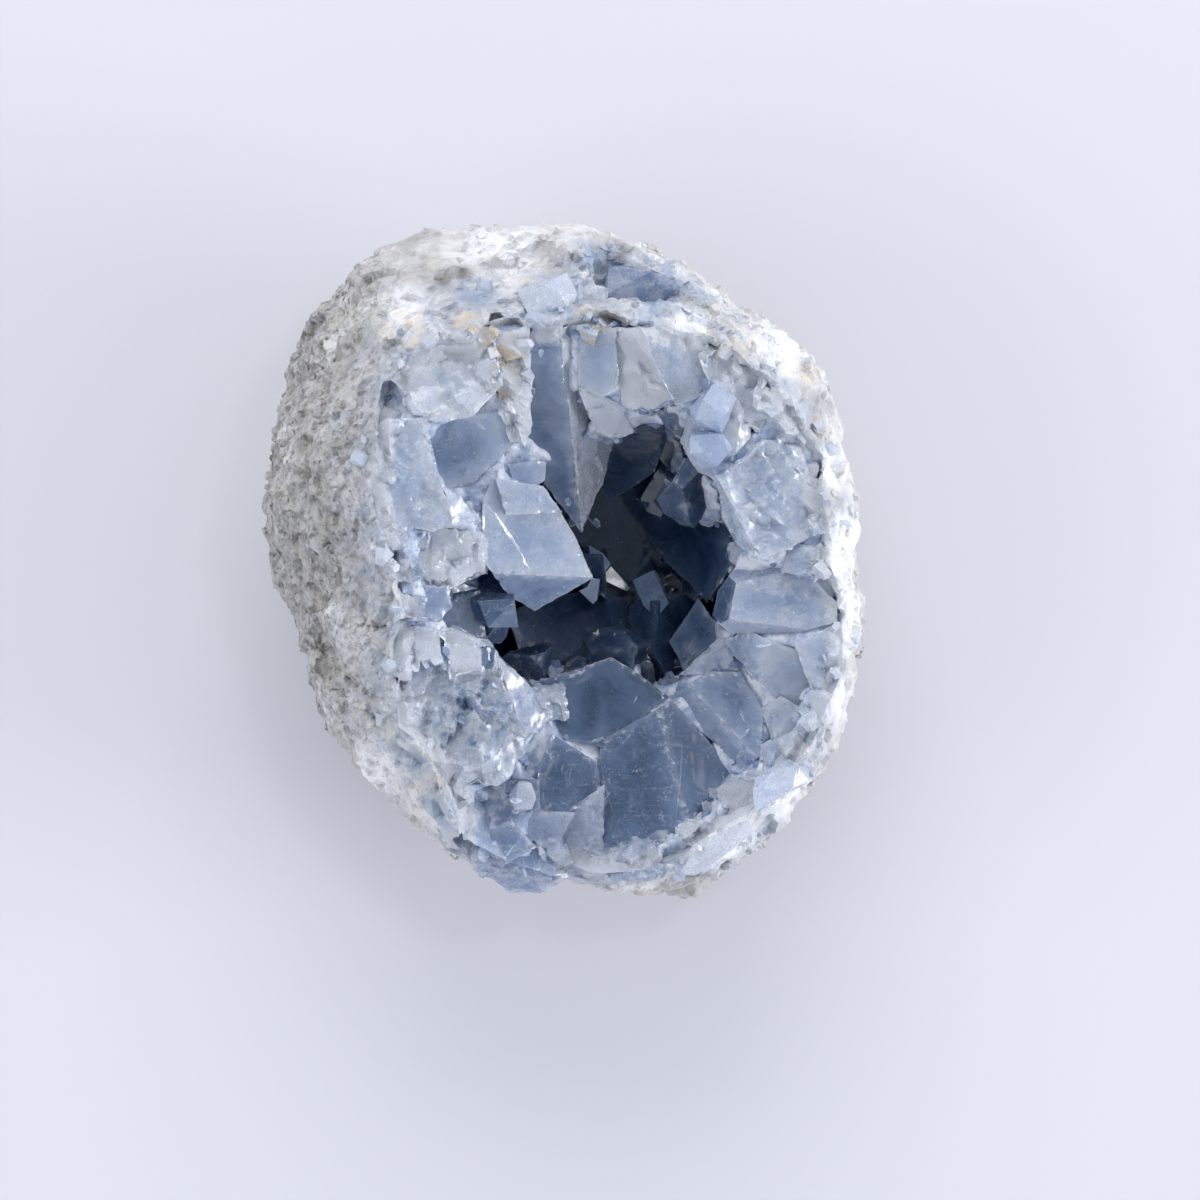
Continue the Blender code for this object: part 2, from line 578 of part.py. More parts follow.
def flake_mesh(place, radius, depth):
    """A many-sided slab, sunk aslant into the outside where a flake has broken off and left a ledge."""
    angle, latitude = (math.radians(v) for v in place)
    centre = outside_point(angle, latitude)
    normal = Vector((math.cos(angle) * math.cos(latitude), math.sin(angle) * math.cos(latitude),
                     math.sin(latitude)))
    side = normal.cross(Vector((0, 0, 1))).normalized()
    up = side.cross(normal)
    mesh = bmesh.new()
    floor, lip = [], []
    for i in range(7):
        turn = math.tau * (i + 0.3 * math.sin(5 * i + angle)) / 7
        reach = radius * (1 + 0.22 * math.sin(3 * i + 2 * angle))
        flat = side * math.cos(turn) * reach + up * math.sin(turn) * reach * 0.7
        sunk = depth * (1 + math.cos(turn - 3 * angle))
        floor.append(mesh.verts.new((centre + flat * 0.8 - normal * sunk) * MM))
        lip.append(mesh.verts.new((centre + flat * 1.25 + normal * 6) * MM))
    for i in range(7):
        j = (i + 1) % 7
        mesh.faces.new((floor[i], floor[j], lip[j], lip[i]))
    mesh.faces.new(floor)
    mesh.faces.new(lip)
    bmesh.ops.recalc_face_normals(mesh, faces=mesh.faces)
    return mesh


def new_object(name, mesh, collection=None):
    """A scene object with its own mesh."""
    data = bpy.data.meshes.new(name)
    mesh.to_mesh(data)
    mesh.free()
    made = bpy.data.objects.new(name, data)
    (collection or bpy.context.scene.collection).objects.link(made)
    return made


def helper(name, mesh, collection=None):
    """A cutter or a piece to be joined, which is not itself part of the object."""
    made = new_object(name, mesh, collection)
    made.hide_render = True
    made.display_type = "WIRE"
    return made


def helper_collection(name):
    made = bpy.data.collections.new(name)
    bpy.context.scene.collection.children.link(made)
    return made


def boolean(target, operation, name, cutter=None, group=None, solver="EXACT"):
    """A Boolean modifier against one object or a collection."""
    modifier = target.modifiers.new(name, "BOOLEAN")
    modifier.operation = operation
    modifier.solver = solver
    if group is None:
        modifier.object = cutter
    else:
        modifier.operand_type = "COLLECTION"
        modifier.collection = group


def material(name, colour, roughness, transmission=0.0):
    """A plain finish: colour, roughness and, for crystal, see-through."""
    made = bpy.data.materials.new(name)
    made.use_nodes = True
    shader = made.node_tree.nodes["Principled BSDF"]
    shader.inputs["Base Color"].default_value = (*colour, 1)
    shader.inputs["Roughness"].default_value = roughness
    shader.inputs["Metallic"].default_value = 0.0
    shader.inputs["Transmission Weight"].default_value = transmission
    return made


def shell_volume(faces):
    """Volume inside one closed shell, negative for a cavity."""
    total = 0.0
    for face in faces:
        first, *rest = (v.co for v in face.verts)
        total += sum(first.dot(a.cross(b)) for a, b in zip(rest, rest[1:])) / 6
    return total


def settle(target):
    """Fixes the Booleans into the mesh and keeps its one outer shell, so no crumb or sealed pocket stays."""
    view = bpy.context.evaluated_depsgraph_get()
    data = bpy.data.meshes.new_from_object(target.evaluated_get(view))
    mesh = bmesh.new()
    mesh.from_mesh(data)
    bmesh.ops.remove_doubles(mesh, verts=mesh.verts, dist=WELD * MM)
    bmesh.ops.dissolve_degenerate(mesh, edges=mesh.edges, dist=WELD * MM)
    shells = []
    left = set(mesh.faces)
    while left:
        shell, front = set(), [left.pop()]
        while front:
            face = front.pop()
            shell.add(face)
            for edge in face.edges:
                near = [f for f in edge.link_faces if f in left]
                left.difference_update(near)
                front.extend(near)
        shells.append(shell)
    shells.sort(key=shell_volume)
    spare = [face for shell in shells[:-1] for face in shell]
    bmesh.ops.delete(mesh, geom=spare, context="FACES")
    bmesh.ops.delete(mesh, geom=[v for v in mesh.verts if not v.link_faces], context="VERTS")
    target.modifiers.clear()
    mesh.to_mesh(target.data)
    mesh.free()


def make_mould(name, shrink):
    """The space open to the crystals: the cup and the notches in its edge, less a gap."""
    mould = helper(name, cup_mesh(shrink))
    notches = helper_collection(f"{name}_notches")
    for i, (outline, floor) in enumerate(NOTCHES):
        helper(f"{name}_notch_{i}", notch_mesh(outline, floor, shrink), notches)
    boolean(mould, "UNION", "notched", group=notches)
    return mould


def make_rind():
    """The rock shell, hollowed by the cup and scarred by flakes."""
    rind = new_object("rind", outside_mesh())
    cutters = helper_collection("rind_cutters")
    mould = make_mould("hollow_of_rind", 0.0)
    bpy.context.scene.collection.objects.unlink(mould)
    cutters.objects.link(mould)
    for i, flake in enumerate(FLAKES):
        helper(f"flake_{i}", flake_mesh(*flake), cutters)
    boolean(rind, "DIFFERENCE", "broken_open", group=cutters)
    settle(rind)
    rind.data.materials.append(material("rind_rock", (0.62, 0.63, 0.65), 0.85))
    return rind


def make_crystal_crust():
    """Every crystal and the layer behind them, grown together into one solid."""
    crust = new_object("crystal_crust", crust_bed_mesh())
    grown = helper_collection("grown_crystals")
    for name, crystal in CRYSTALS.items():
        helper(name, block_mesh(crystal), grown)
    for i, mesh in enumerate(wall_crystal_meshes()):
        helper(f"wall_crystal_{i}", mesh, grown)
    for i, stub in enumerate(stub_crystals()):
        helper(f"stub_{i}", block_mesh(stub), grown)
    # Many crystals share an edge, where EXACT leaves holes.
    boolean(crust, "UNION", "grown_together", group=grown, solver="MANIFOLD")
    mould = make_mould("mould_of_crust", CRUST_GAP)
    boolean(crust, "INTERSECT", "fitted_to_rind", mould, solver="MANIFOLD")
    settle(crust)
    crust.data.materials.append(material("celestite", (0.35, 0.45, 0.58), 0.15, 0.5))
    return crust


def centre_on_origin(pieces, outermost):
    """Moves every piece so that the outermost one's box stands with its middle over the origin."""
    corners = [[v.co[axis] for v in outermost.data.vertices] for axis in range(3)]
    shift = Vector([-(min(row) + max(row)) / 2 for row in corners[:2]] + [-min(corners[2])])
    for piece in pieces:
        piece.data.transform(Matrix.Translation(shift))


def main():
    for old in list(bpy.data.objects):
        bpy.data.objects.remove(old)
    rind = make_rind()
    crust = make_crystal_crust()
    centre_on_origin((rind, crust), rind)


main()
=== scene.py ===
"""Celestite geode: a rough rock rind around a crust of blue crystals with a deep hollow."""

import logging
import math
import random
from collections.abc import Callable
from dataclasses import dataclass, field
from enum import Enum

import bmesh
import bpy
import numpy as np
from mathutils import Matrix, Vector, kdtree, noise
from mathutils.bvhtree import BVHTree


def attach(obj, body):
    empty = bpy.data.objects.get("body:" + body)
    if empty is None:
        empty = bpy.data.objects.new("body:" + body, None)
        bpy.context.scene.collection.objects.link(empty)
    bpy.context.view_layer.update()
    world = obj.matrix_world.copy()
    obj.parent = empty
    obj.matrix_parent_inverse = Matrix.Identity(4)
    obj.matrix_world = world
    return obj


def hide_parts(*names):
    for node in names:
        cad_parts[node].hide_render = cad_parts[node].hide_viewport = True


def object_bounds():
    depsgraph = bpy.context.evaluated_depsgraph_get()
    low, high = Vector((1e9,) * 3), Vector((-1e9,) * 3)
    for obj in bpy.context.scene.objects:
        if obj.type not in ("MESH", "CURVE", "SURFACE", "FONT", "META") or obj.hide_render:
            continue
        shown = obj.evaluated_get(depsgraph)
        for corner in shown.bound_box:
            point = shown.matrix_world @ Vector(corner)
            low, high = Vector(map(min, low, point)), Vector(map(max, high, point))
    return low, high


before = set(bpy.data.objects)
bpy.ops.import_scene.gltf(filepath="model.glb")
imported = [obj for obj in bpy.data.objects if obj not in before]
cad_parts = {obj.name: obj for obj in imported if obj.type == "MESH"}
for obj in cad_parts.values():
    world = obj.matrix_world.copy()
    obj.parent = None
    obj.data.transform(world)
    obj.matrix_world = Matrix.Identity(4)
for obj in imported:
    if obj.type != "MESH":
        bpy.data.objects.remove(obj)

CAD_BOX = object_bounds()
MM = 0.001
PHOTO_MM = 0.15  # what one pixel of the photograph covers on the stone
log = logging.getLogger("geode")

Colour = tuple[float, float, float]


def seen_at(column: float, row: float) -> tuple[float, float]:
    """The millimetres right of and up from the origin at a column and row of the photograph."""
    return (column - 562) * PHOTO_MM - 0.183, (565 - row) * PHOTO_MM - 0.379


def smooth(value: float, low: float, high: float) -> float:
    """0 below low, 1 above high and an eased step between them."""
    t = min(1.0, max(0.0, (value - low) / (high - low)))
    return t * t * (3 - 2 * t)


class Slot(Enum):
    """The record's material slots."""

    ROCK = "rind_rock"
    CELESTITE = "celestite"


class Graph:
    """Adds and joins the nodes of one tree."""

    def __init__(self, tree: bpy.types.NodeTree) -> None:
        """Wraps a tree.

        Args:
            tree: the tree that the nodes go into.
        """
        self.tree = tree

    def add(self, kind: str, inputs: dict | None = None, **settings: object) -> bpy.types.Node:
        """Adds one node.

        Args:
            kind: the node's class, such as ShaderNodeMath.
            inputs: a value or a socket for each input, by its name or number.
            settings: the node's own settings.

        Returns:
            The node.
        """
        node = self.tree.nodes.new(kind)
        for name, value in settings.items():
            setattr(node, name, value)
        for name, value in (inputs or {}).items():
            self.feed(node.inputs[name], value)
        return node

    def feed(self, socket: bpy.types.NodeSocket, value: object) -> None:
        """Joins a socket to another, or sets it to a plain value.

        Args:
            socket: the input.
            value: an output socket, a number, a colour or a vector.
        """
        if isinstance(value, bpy.types.NodeSocket):
            self.tree.links.new(value, socket)
        elif isinstance(value, tuple) and len(value) == 3 and socket.type == "RGBA":
            socket.default_value = (*value, 1.0)
        else:
            socket.default_value = value

    def math(self, operation: str, *values: object, clamp: bool = False) -> bpy.types.NodeSocket:
        """The result of one sum on up to three values."""
        node = self.add("ShaderNodeMath", dict(enumerate(values)), operation=operation)
        node.use_clamp = clamp
        return node.outputs[0]

    def step(self, value: object, low: float, high: float) -> bpy.types.NodeSocket:
        """0 below low, 1 above high and an eased step between them."""
        node = self.add(
            "ShaderNodeMapRange",
            {"Value": value, "From Min": low, "From Max": high},
            interpolation_type="SMOOTHSTEP",
        )
        return node.outputs["Result"]

    def mix(self, factor: object, first: object, second: object, blend: str = "MIX") -> bpy.types.NodeSocket:
        """Two colours mixed.

        Args:
            factor: how much of the second colour.
            first: the first colour.
            second: the second colour.
            blend: how they're mixed.

        Returns:
            The colour socket.
        """
        node = self.add("ShaderNodeMix", data_type="RGBA", blend_type=blend, clamp_result=True)
        for number, value in ((0, factor), (6, first), (7, second)):
            self.feed(node.inputs[number], value)
        return node.outputs[2]

    def millimetres(self) -> bpy.types.NodeSocket:
        """The object's own coordinates in millimetres."""
        place = self.add("ShaderNodeTexCoord").outputs["Object"]
        node = self.add("ShaderNodeVectorMath", {0: place, "Scale": 1 / MM}, operation="SCALE")
        return node.outputs[0]

    def noise(self, place: object, size: object, detail: float = 3, warp: float = 0, rough: float = 0.5) -> bpy.types.NodeSocket:
        """Cloudy noise.

        Args:
            place: where, in millimetres.
            size: the size of its lumps in millimetres, or a socket that gives one over it.
            detail: how many finer layers it has.
            warp: how much it's twisted.
            rough: the share that each finer layer has of the one before.

        Returns:
            A value from 0 to 1.
        """
        scale = 1 / size if isinstance(size, (int, float)) else size
        node = self.add(
            "ShaderNodeTexNoise",
            {"Vector": place, "Scale": scale, "Detail": detail, "Distortion": warp, "Roughness": rough},
        )
        return node.outputs["Fac"]

    def cells(self, place: object, size: object, feature: str = "F1", out: str = "Distance") -> bpy.types.NodeSocket:
        """Voronoi cells.

        Args:
            place: where, in millimetres.
            size: the size of a cell in millimetres, or a socket that gives one over it.
            feature: which distance is measured.
            out: the output that's wanted.

        Returns:
            The output socket.
        """
        scale = 1 / size if isinstance(size, (int, float)) else size
        node = self.add("ShaderNodeTexVoronoi", {"Vector": place, "Scale": scale}, feature=feature)
        return node.outputs[out]

    def shade(self, place: object, size: float) -> bpy.types.NodeSocket:
        """A number from 0 to 1 that is the same all over each of the cells of this size."""
        colour = self.add("ShaderNodeTexVoronoi", {"Vector": place, "Scale": 1 / size}).outputs["Color"]
        return self.add("ShaderNodeSeparateColor", {0: colour}).outputs[0]

    def ramp(self, value: object, stops: list[tuple[float, Colour]]) -> bpy.types.NodeSocket:
        """A colour looked up along a row of stops.

        Args:
            value: where along the row, from 0 to 1.
            stops: the places and colours.

        Returns:
            The colour socket.
        """
        node = self.add("ShaderNodeValToRGB", {0: value})
        row = node.color_ramp.elements
        while len(row) < len(stops):
            row.new(0.5)
        for element, (place, colour) in zip(row, stops):
            element.position = place
            element.color = (*colour, 1.0)
        return node.outputs[0]

    def surface(self, name: str) -> bpy.types.NodeSocket:
        """A number that the mesh carries under this name."""
        return self.add("ShaderNodeAttribute", attribute_name=name).outputs["Fac"]

    def group(self, tree: bpy.types.NodeTree, **inputs: object) -> bpy.types.Node:
        """Places a node group.

        Args:
            tree: the group.
            inputs: its inputs, with _ for a space.

        Returns:
            The group's node.
        """
        node = self.add("ShaderNodeGroup")
        node.node_tree = tree
        for name, value in inputs.items():
            self.feed(node.inputs[name.replace("_", " ")], value)
        return node


def new_group(name: str, inputs: dict[str, str], outputs: list[str]) -> tuple[Graph, bpy.types.Node, bpy.types.Node]:
    """Starts a shader node group.

    Args:
        name: the group's name.
        inputs: the kind of socket, Float or Vector, of each input.
        outputs: the names of its outputs, all plain numbers.

    Returns:
        Its graph, its input node and its output node.
    """
    tree = bpy.data.node_groups.new(name, "ShaderNodeTree")
    for label, kind in inputs.items():
        tree.interface.new_socket(label, in_out="INPUT", socket_type=f"NodeSocket{kind}")
    for label in outputs:
        tree.interface.new_socket(label, in_out="OUTPUT", socket_type="NodeSocketFloat")
    graph = Graph(tree)
    return graph, graph.add("NodeGroupInput"), graph.add("NodeGroupOutput")


def grain_group() -> bpy.types.NodeTree:
    """Broken mineral grain: a height for bumps, and a mask of the dark spots between the grains."""
    graph, given, out = new_group("mineral_grain", {"Place": "Vector", "Fineness": "Float"}, ["Height", "Specks"])
    place, fine = given.outputs["Place"], given.outputs["Fineness"]
    coarse = graph.cells(place, fine)
    finer = graph.cells(place, graph.math("MULTIPLY", fine, 2.7))
    cloud = graph.noise(place, graph.math("MULTIPLY", fine, 1.6), detail=4, rough=0.62)
    height = graph.math("MULTIPLY_ADD", finer, 0.4, graph.math("MULTIPLY_ADD", coarse, 0.6, cloud))
    graph.feed(out.inputs["Height"], height)
    graph.feed(out.inputs["Specks"], graph.math("MULTIPLY", graph.step(coarse, 0.5, 0.85), graph.step(cloud, 0.44, 0.6)))
    return graph.tree


def veil_group() -> bpy.types.NodeTree:
    """Milky veils and healed cracks inside a crystal."""
    graph, given, out = new_group(
        "healed_veils", {"Place": "Vector", "Fineness": "Float"}, ["Cloud", "Cracks", "Mottle", "Fibres"]
    )
    place, fine = given.outputs["Place"], given.outputs["Fineness"]
    cloud = graph.noise(place, fine, detail=6, warp=0.8, rough=0.66)
    bend = graph.noise(place, graph.math("MULTIPLY", fine, 1.5), detail=2)
    moved = graph.add("ShaderNodeVectorMath", {0: place, 1: bend}, operation="ADD").outputs[0]
    sheets = graph.cells(moved, graph.math("MULTIPLY", fine, 0.8), feature="DISTANCE_TO_EDGE")
    thin = graph.math("SUBTRACT", 1.0, graph.step(sheets, 0.004, 0.05))
    turned = graph.add("ShaderNodeMapping", {"Vector": place, "Rotation": (0.5, 0.35, 0.8), "Scale": (0.22, 2.0, 0.8)})
    graph.feed(out.inputs["Fibres"], graph.noise(turned.outputs[0], graph.math("MULTIPLY", fine, 6.0), detail=4, rough=0.6))
    graph.feed(out.inputs["Mottle"], graph.noise(place, graph.math("MULTIPLY", fine, 13.0), detail=5, rough=0.7))
    graph.feed(out.inputs["Cloud"], cloud)
    graph.feed(out.inputs["Cracks"], graph.math("MULTIPLY", thin, graph.step(bend, 0.52, 0.7)))
    return graph.tree


def crumb_group() -> bpy.types.NodeTree:
    """Loose specks of dust."""
    graph, given, out = new_group(
        "loose_specks", {"Place": "Vector", "Fineness": "Float", "Amount": "Float"}, ["Specks"]
    )
    place, fine = given.outputs["Place"], given.outputs["Fineness"]
    node = graph.add("ShaderNodeTexVoronoi", {"Vector": place, "Scale": fine})
    shade = graph.add("ShaderNodeSeparateColor", {0: node.outputs["Color"]}).outputs[0]
    chosen = graph.math("LESS_THAN", shade, given.outputs["Amount"])
    size = graph.math("SUBTRACT", 1.0, graph.step(node.outputs["Distance"], 0.12, 0.3))
    graph.feed(out.inputs["Specks"], graph.math("MULTIPLY", chosen, size))
    return graph.tree


@dataclass(frozen=True)
class Effects:
    """The node groups that the finishes share."""

    grain: bpy.types.NodeTree
    veils: bpy.types.NodeTree
    crumbs: bpy.types.NodeTree


def new_material(name: str) -> tuple[bpy.types.Material, Graph, bpy.types.Node]:
    """Starts a material.

    Args:
        name: its name.

    Returns:
        The material, its graph and its Principled shader.
    """
    material = bpy.data.materials.new(name)
    material.use_nodes = True
    return material, Graph(material.node_tree), material.node_tree.nodes["Principled BSDF"]


@dataclass(frozen=True)
class RockFinish:
    """Pale crystalline matrix: greyer, more speckled and darker towards the far left and low on the sides, blue where
    crystal shows through, and whiter in spots, partly white rock and partly painted highlight.
    """

    chalk: Colour = (0.70, 0.685, 0.685)
    grey: Colour = (0.40, 0.39, 0.395)
    window: Colour = (0.235, 0.30, 0.42)
    darkening: Colour = (0.085, 0.075, 0.065)
    shade: Colour = (0.21, 0.20, 0.195)
    white_and_highlight_colour: Colour = (0.87, 0.87, 0.90)
    ochre: Colour = (0.68, 0.55, 0.36)
    straw: Colour = (0.64, 0.60, 0.50)
    roughness: float = 0.82

    def material(self, effects: Effects) -> bpy.types.Material:
        """Builds the material.

        Args:
            effects: the shared node groups.

        Returns:
            The material.
        """
        material, graph, shader = new_material("rind_rock")
        place = graph.millimetres()
        grain = graph.group(effects.grain, Place=place, Fineness=0.9)
        coarse = graph.group(effects.grain, Place=place, Fineness=0.32)
        patches = graph.noise(place, 9.0, detail=5, rough=0.6)
        colour = graph.mix(graph.step(patches, 0.36, 0.66), self.chalk, self.grey)
        fog = graph.noise(place, 2.3, detail=5, rough=0.7)
        colour = graph.mix(graph.math("MULTIPLY", graph.step(fog, 0.5, 0.72), 0.55), colour, self.chalk)
        drifts = graph.noise(place, 5.5, detail=6, warp=0.7, rough=0.6)
        shards = graph.math("MULTIPLY_ADD", fog, 0.35, graph.math("MULTIPLY", drifts, 0.65))
        matrix = graph.surface("matrix")
        crystal = graph.mix(graph.step(shards, 0.4, 0.58), self.window, self.chalk)
        colour = graph.mix(graph.math("MULTIPLY", matrix, 0.8), colour, crystal)
        window = graph.math("MULTIPLY", graph.surface("window"), graph.step(fog, 0.38, 0.56))
        colour = graph.mix(graph.math("MULTIPLY", window, 0.88), colour, self.window)
        # Painted whiteness: whiter rock, and painted highlight on the lit right side.
        white_and_highlight = graph.math("MULTIPLY", graph.surface("white_and_highlight"), graph.step(fog, 0.3, 0.5))
        colour = graph.mix(graph.math("MULTIPLY", white_and_highlight, 0.85), colour, self.white_and_highlight_colour)
        # Towards the far left and low down the sides the rock is painted greyer, more speckled and darker.
        darkening = graph.surface("darkening")
        greyer_patches = graph.math("MULTIPLY", darkening, graph.step(patches, 0.25, 0.5))
        colour = graph.mix(graph.math("MULTIPLY", greyer_patches, 0.9), colour, self.grey)
        specks = graph.math("MAXIMUM", coarse.outputs["Specks"], grain.outputs["Specks"])
        colour = graph.mix(graph.math("MULTIPLY", specks, graph.math("MULTIPLY_ADD", darkening, 0.85, 0.1)), colour, self.darkening)
        darker_patches = graph.math("MULTIPLY", darkening, graph.step(graph.noise(place, 1.6, detail=5, rough=0.7), 0.42, 0.62))
        colour = graph.mix(graph.math("MULTIPLY", darker_patches, 0.72), colour, self.shade)
        warm = graph.math("MULTIPLY", graph.step(graph.noise(place, 4.5, detail=4, rough=0.6), 0.5, 0.7), 0.35)
        colour = graph.mix(warm, colour, self.straw)
        stain = graph.math("MULTIPLY", graph.surface("stain"), graph.step(fog, 0.42, 0.62))
        colour = graph.mix(graph.math("MULTIPLY", stain, 0.6), colour, self.ochre)
        # Dark spots painted at the listed pits of the rim; the mesh has no hollow under them.
        colour = graph.mix(graph.math("MULTIPLY", graph.surface("pit"), 0.6), colour, self.darkening)
        graph.feed(shader.inputs["Base Color"], colour)
        rough = graph.math("MULTIPLY_ADD", graph.math("MAXIMUM", window, matrix), -0.38, self.roughness)
        graph.feed(shader.inputs["Roughness"], rough)
        shader.inputs["IOR"].default_value = 1.5
        fine = graph.add("ShaderNodeBump", {"Height": grain.outputs["Height"], "Distance": 0.22 * MM, "Strength": 0.65})
        wide = graph.add(
            "ShaderNodeBump",
            {"Height": coarse.outputs["Height"], "Distance": 0.5 * MM, "Strength": 0.6, "Normal": fine.outputs[0]},
        )
        graph.feed(shader.inputs["Normal"], wide.outputs[0])
        return material


@dataclass(frozen=True)
class CelestiteFinish:
    """Clear to milky blue crystal, whitened along its broken edges."""

    shades: tuple[tuple[float, Colour], ...] = (
        (0.0, (0.83, 0.885, 1.0)),
        (0.25, (0.52, 0.625, 0.85)),
        (0.5, (0.23, 0.325, 0.53)),
        (0.75, (0.078, 0.135, 0.25)),
        (1.0, (0.012, 0.042, 0.115)),
    )
    milk: Colour = (0.88, 0.91, 0.985)
    ochre: Colour = (0.72, 0.56, 0.33)
    dust: Colour = (0.45, 0.36, 0.26)
    body: Colour = (0.42, 0.60, 0.86)
    density: float = 90.0
    transmission: float = 0.5
    index: float = 1.62

    def material(self, effects: Effects) -> bpy.types.Material:
        """Builds the material.

        Args:
            effects: the shared node groups.

        Returns:
            The material.
        """
        material, graph, shader = new_material("celestite")
        place = graph.millimetres()
        veils = graph.group(effects.veils, Place=place, Fineness=0.14)
        fog = graph.group(effects.veils, Place=place, Fineness=0.42)
        grain = graph.group(effects.grain, Place=place, Fineness=1.5)
        # Painted light: facets are paler and milkier near their edges, as if light shone through thin crystal.
        edge = graph.surface("edge")
        tone = graph.math("MULTIPLY_ADD", edge, -0.14, graph.surface("tone"))
        milk = graph.math("MULTIPLY_ADD", edge, 0.1, graph.surface("milk"))
        frost = graph.math("MAXIMUM", graph.surface("frost"), graph.math("MULTIPLY", graph.surface("rime"), 0.8))
        drift = graph.math("MULTIPLY_ADD", graph.math("SUBTRACT", veils.outputs["Cloud"], 0.5), 0.8, tone)
        colour = graph.ramp(drift, list(self.shades))
        clouds = graph.math("MULTIPLY_ADD", fog.outputs["Cloud"], 0.5, graph.math("MULTIPLY", veils.outputs["Cloud"], 0.5))
        threshold = graph.math("MULTIPLY_ADD", milk, 0.3, graph.math("SUBTRACT", clouds, 0.66))
        milky = graph.step(threshold, 0.0, 0.1)
        colour = graph.mix(graph.math("MULTIPLY", milky, 0.5), colour, self.milk)
        deeper = graph.math("MULTIPLY", graph.step(graph.math("SUBTRACT", 1.0, clouds), 0.5, 0.62), milk)
        colour = graph.mix(graph.math("MULTIPLY", deeper, 0.6), colour, graph.ramp(graph.math("ADD", drift, 0.24), list(self.shades)))
        mottle, fibres = veils.outputs["Mottle"], veils.outputs["Fibres"]
        cloudy = graph.step(graph.math("MULTIPLY_ADD", milk, 0.35, clouds), 0.5, 0.78)
        flecks = graph.math("MULTIPLY", graph.step(mottle, 0.5, 0.63), cloudy)
        colour = graph.mix(graph.math("MULTIPLY", flecks, 0.3), colour, self.milk)
        shadow = graph.math("MULTIPLY", graph.step(graph.math("SUBTRACT", 1.0, mottle), 0.54, 0.68), cloudy)
        colour = graph.mix(graph.math("MULTIPLY", shadow, 0.4), colour, graph.ramp(graph.math("ADD", drift, 0.3), list(self.shades)))
        hairs = graph.math("MULTIPLY", graph.step(fibres, 0.56, 0.68), cloudy)
        colour = graph.mix(graph.math("MULTIPLY", hairs, 0.3), colour, self.milk)
        pale = graph.math("MULTIPLY", graph.math("SUBTRACT", 1.15, tone, clamp=True), 0.45)
        colour = graph.mix(graph.math("MULTIPLY", veils.outputs["Cracks"], pale), colour, self.milk)
        frosty = graph.step(graph.math("MULTIPLY_ADD", fog.outputs["Cloud"], 0.7, frost), 0.5, 0.95)
        colour = graph.mix(graph.math("MULTIPLY", frosty, 0.85), colour, self.milk)
        colour = graph.mix(graph.math("MULTIPLY", graph.surface("ridge"), graph.math("MULTIPLY", pale, 1.4)), colour, self.milk)
        stain = graph.math("MULTIPLY", graph.surface("stain"), graph.step(fog.outputs["Cloud"], 0.42, 0.6))
        colour = graph.mix(graph.math("MULTIPLY", stain, 0.8), colour, self.ochre)
        crumbs = graph.group(effects.crumbs, Place=place, Fineness=2.2, Amount=0.12)
        dusty = graph.math("MULTIPLY", crumbs.outputs["Specks"], graph.surface("dust"))
        colour = graph.mix(dusty, colour, self.dust)
        graph.feed(shader.inputs["Base Color"], colour)
        hazed = graph.math("MAXIMUM", graph.math("MULTIPLY", frosty, mottle), graph.math("MULTIPLY", flecks, 0.5))
        graph.feed(shader.inputs["Roughness"], graph.math("MULTIPLY_ADD", hazed, 0.6, 0.08))
        shader.inputs["IOR"].default_value = self.index
        shader.inputs["Transmission Weight"].default_value = self.transmission
        height = graph.math("MULTIPLY", grain.outputs["Height"], graph.math("MULTIPLY_ADD", frosty, 0.95, 0.03))
        height = graph.math("MULTIPLY_ADD", graph.math("ADD", mottle, fibres), graph.math("MULTIPLY_ADD", cloudy, 0.22, 0.02), height)
        bump = graph.add("ShaderNodeBump", {"Height": height, "Distance": 0.15 * MM, "Strength": 0.7})
        graph.feed(shader.inputs["Normal"], bump.outputs[0])
        volume = graph.add("ShaderNodeVolumeAbsorption")
        volume.inputs["Color"].default_value = (*self.body, 1)
        volume.inputs["Density"].default_value = self.density
        output = material.node_tree.nodes["Material Output"]
        material.node_tree.links.new(volume.outputs[0], output.inputs["Volume"])
        return material


@dataclass(frozen=True)
class DruseFinish:
    """The milky mass between the crystals: granular, pale and nearly opaque."""

    pale: Colour = (0.74, 0.76, 0.83)
    blue: Colour = (0.27, 0.34, 0.49)

    def material(self, effects: Effects) -> bpy.types.Material:
        """Builds the material.

        Args:
            effects: the shared node groups.

        Returns:
            The material.
        """
        material, graph, shader = new_material("druse")
        place = graph.millimetres()
        grain = graph.group(effects.grain, Place=place, Fineness=1.4)
        cloud = graph.noise(place, 5.0, detail=6, warp=0.6, rough=0.62)
        fog = graph.noise(place, 1.6, detail=5, rough=0.7)
        blend = graph.math("MULTIPLY_ADD", fog, 0.4, graph.math("MULTIPLY", cloud, 0.6))
        graph.feed(shader.inputs["Base Color"], graph.mix(graph.step(blend, 0.4, 0.58), self.blue, self.pale))
        graph.feed(shader.inputs["Roughness"], graph.math("MULTIPLY_ADD", fog, 0.4, 0.35))
        bump = graph.add("ShaderNodeBump", {"Height": grain.outputs["Height"], "Distance": 0.12 * MM, "Strength": 0.5})
        graph.feed(shader.inputs["Normal"], bump.outputs[0])
        return material


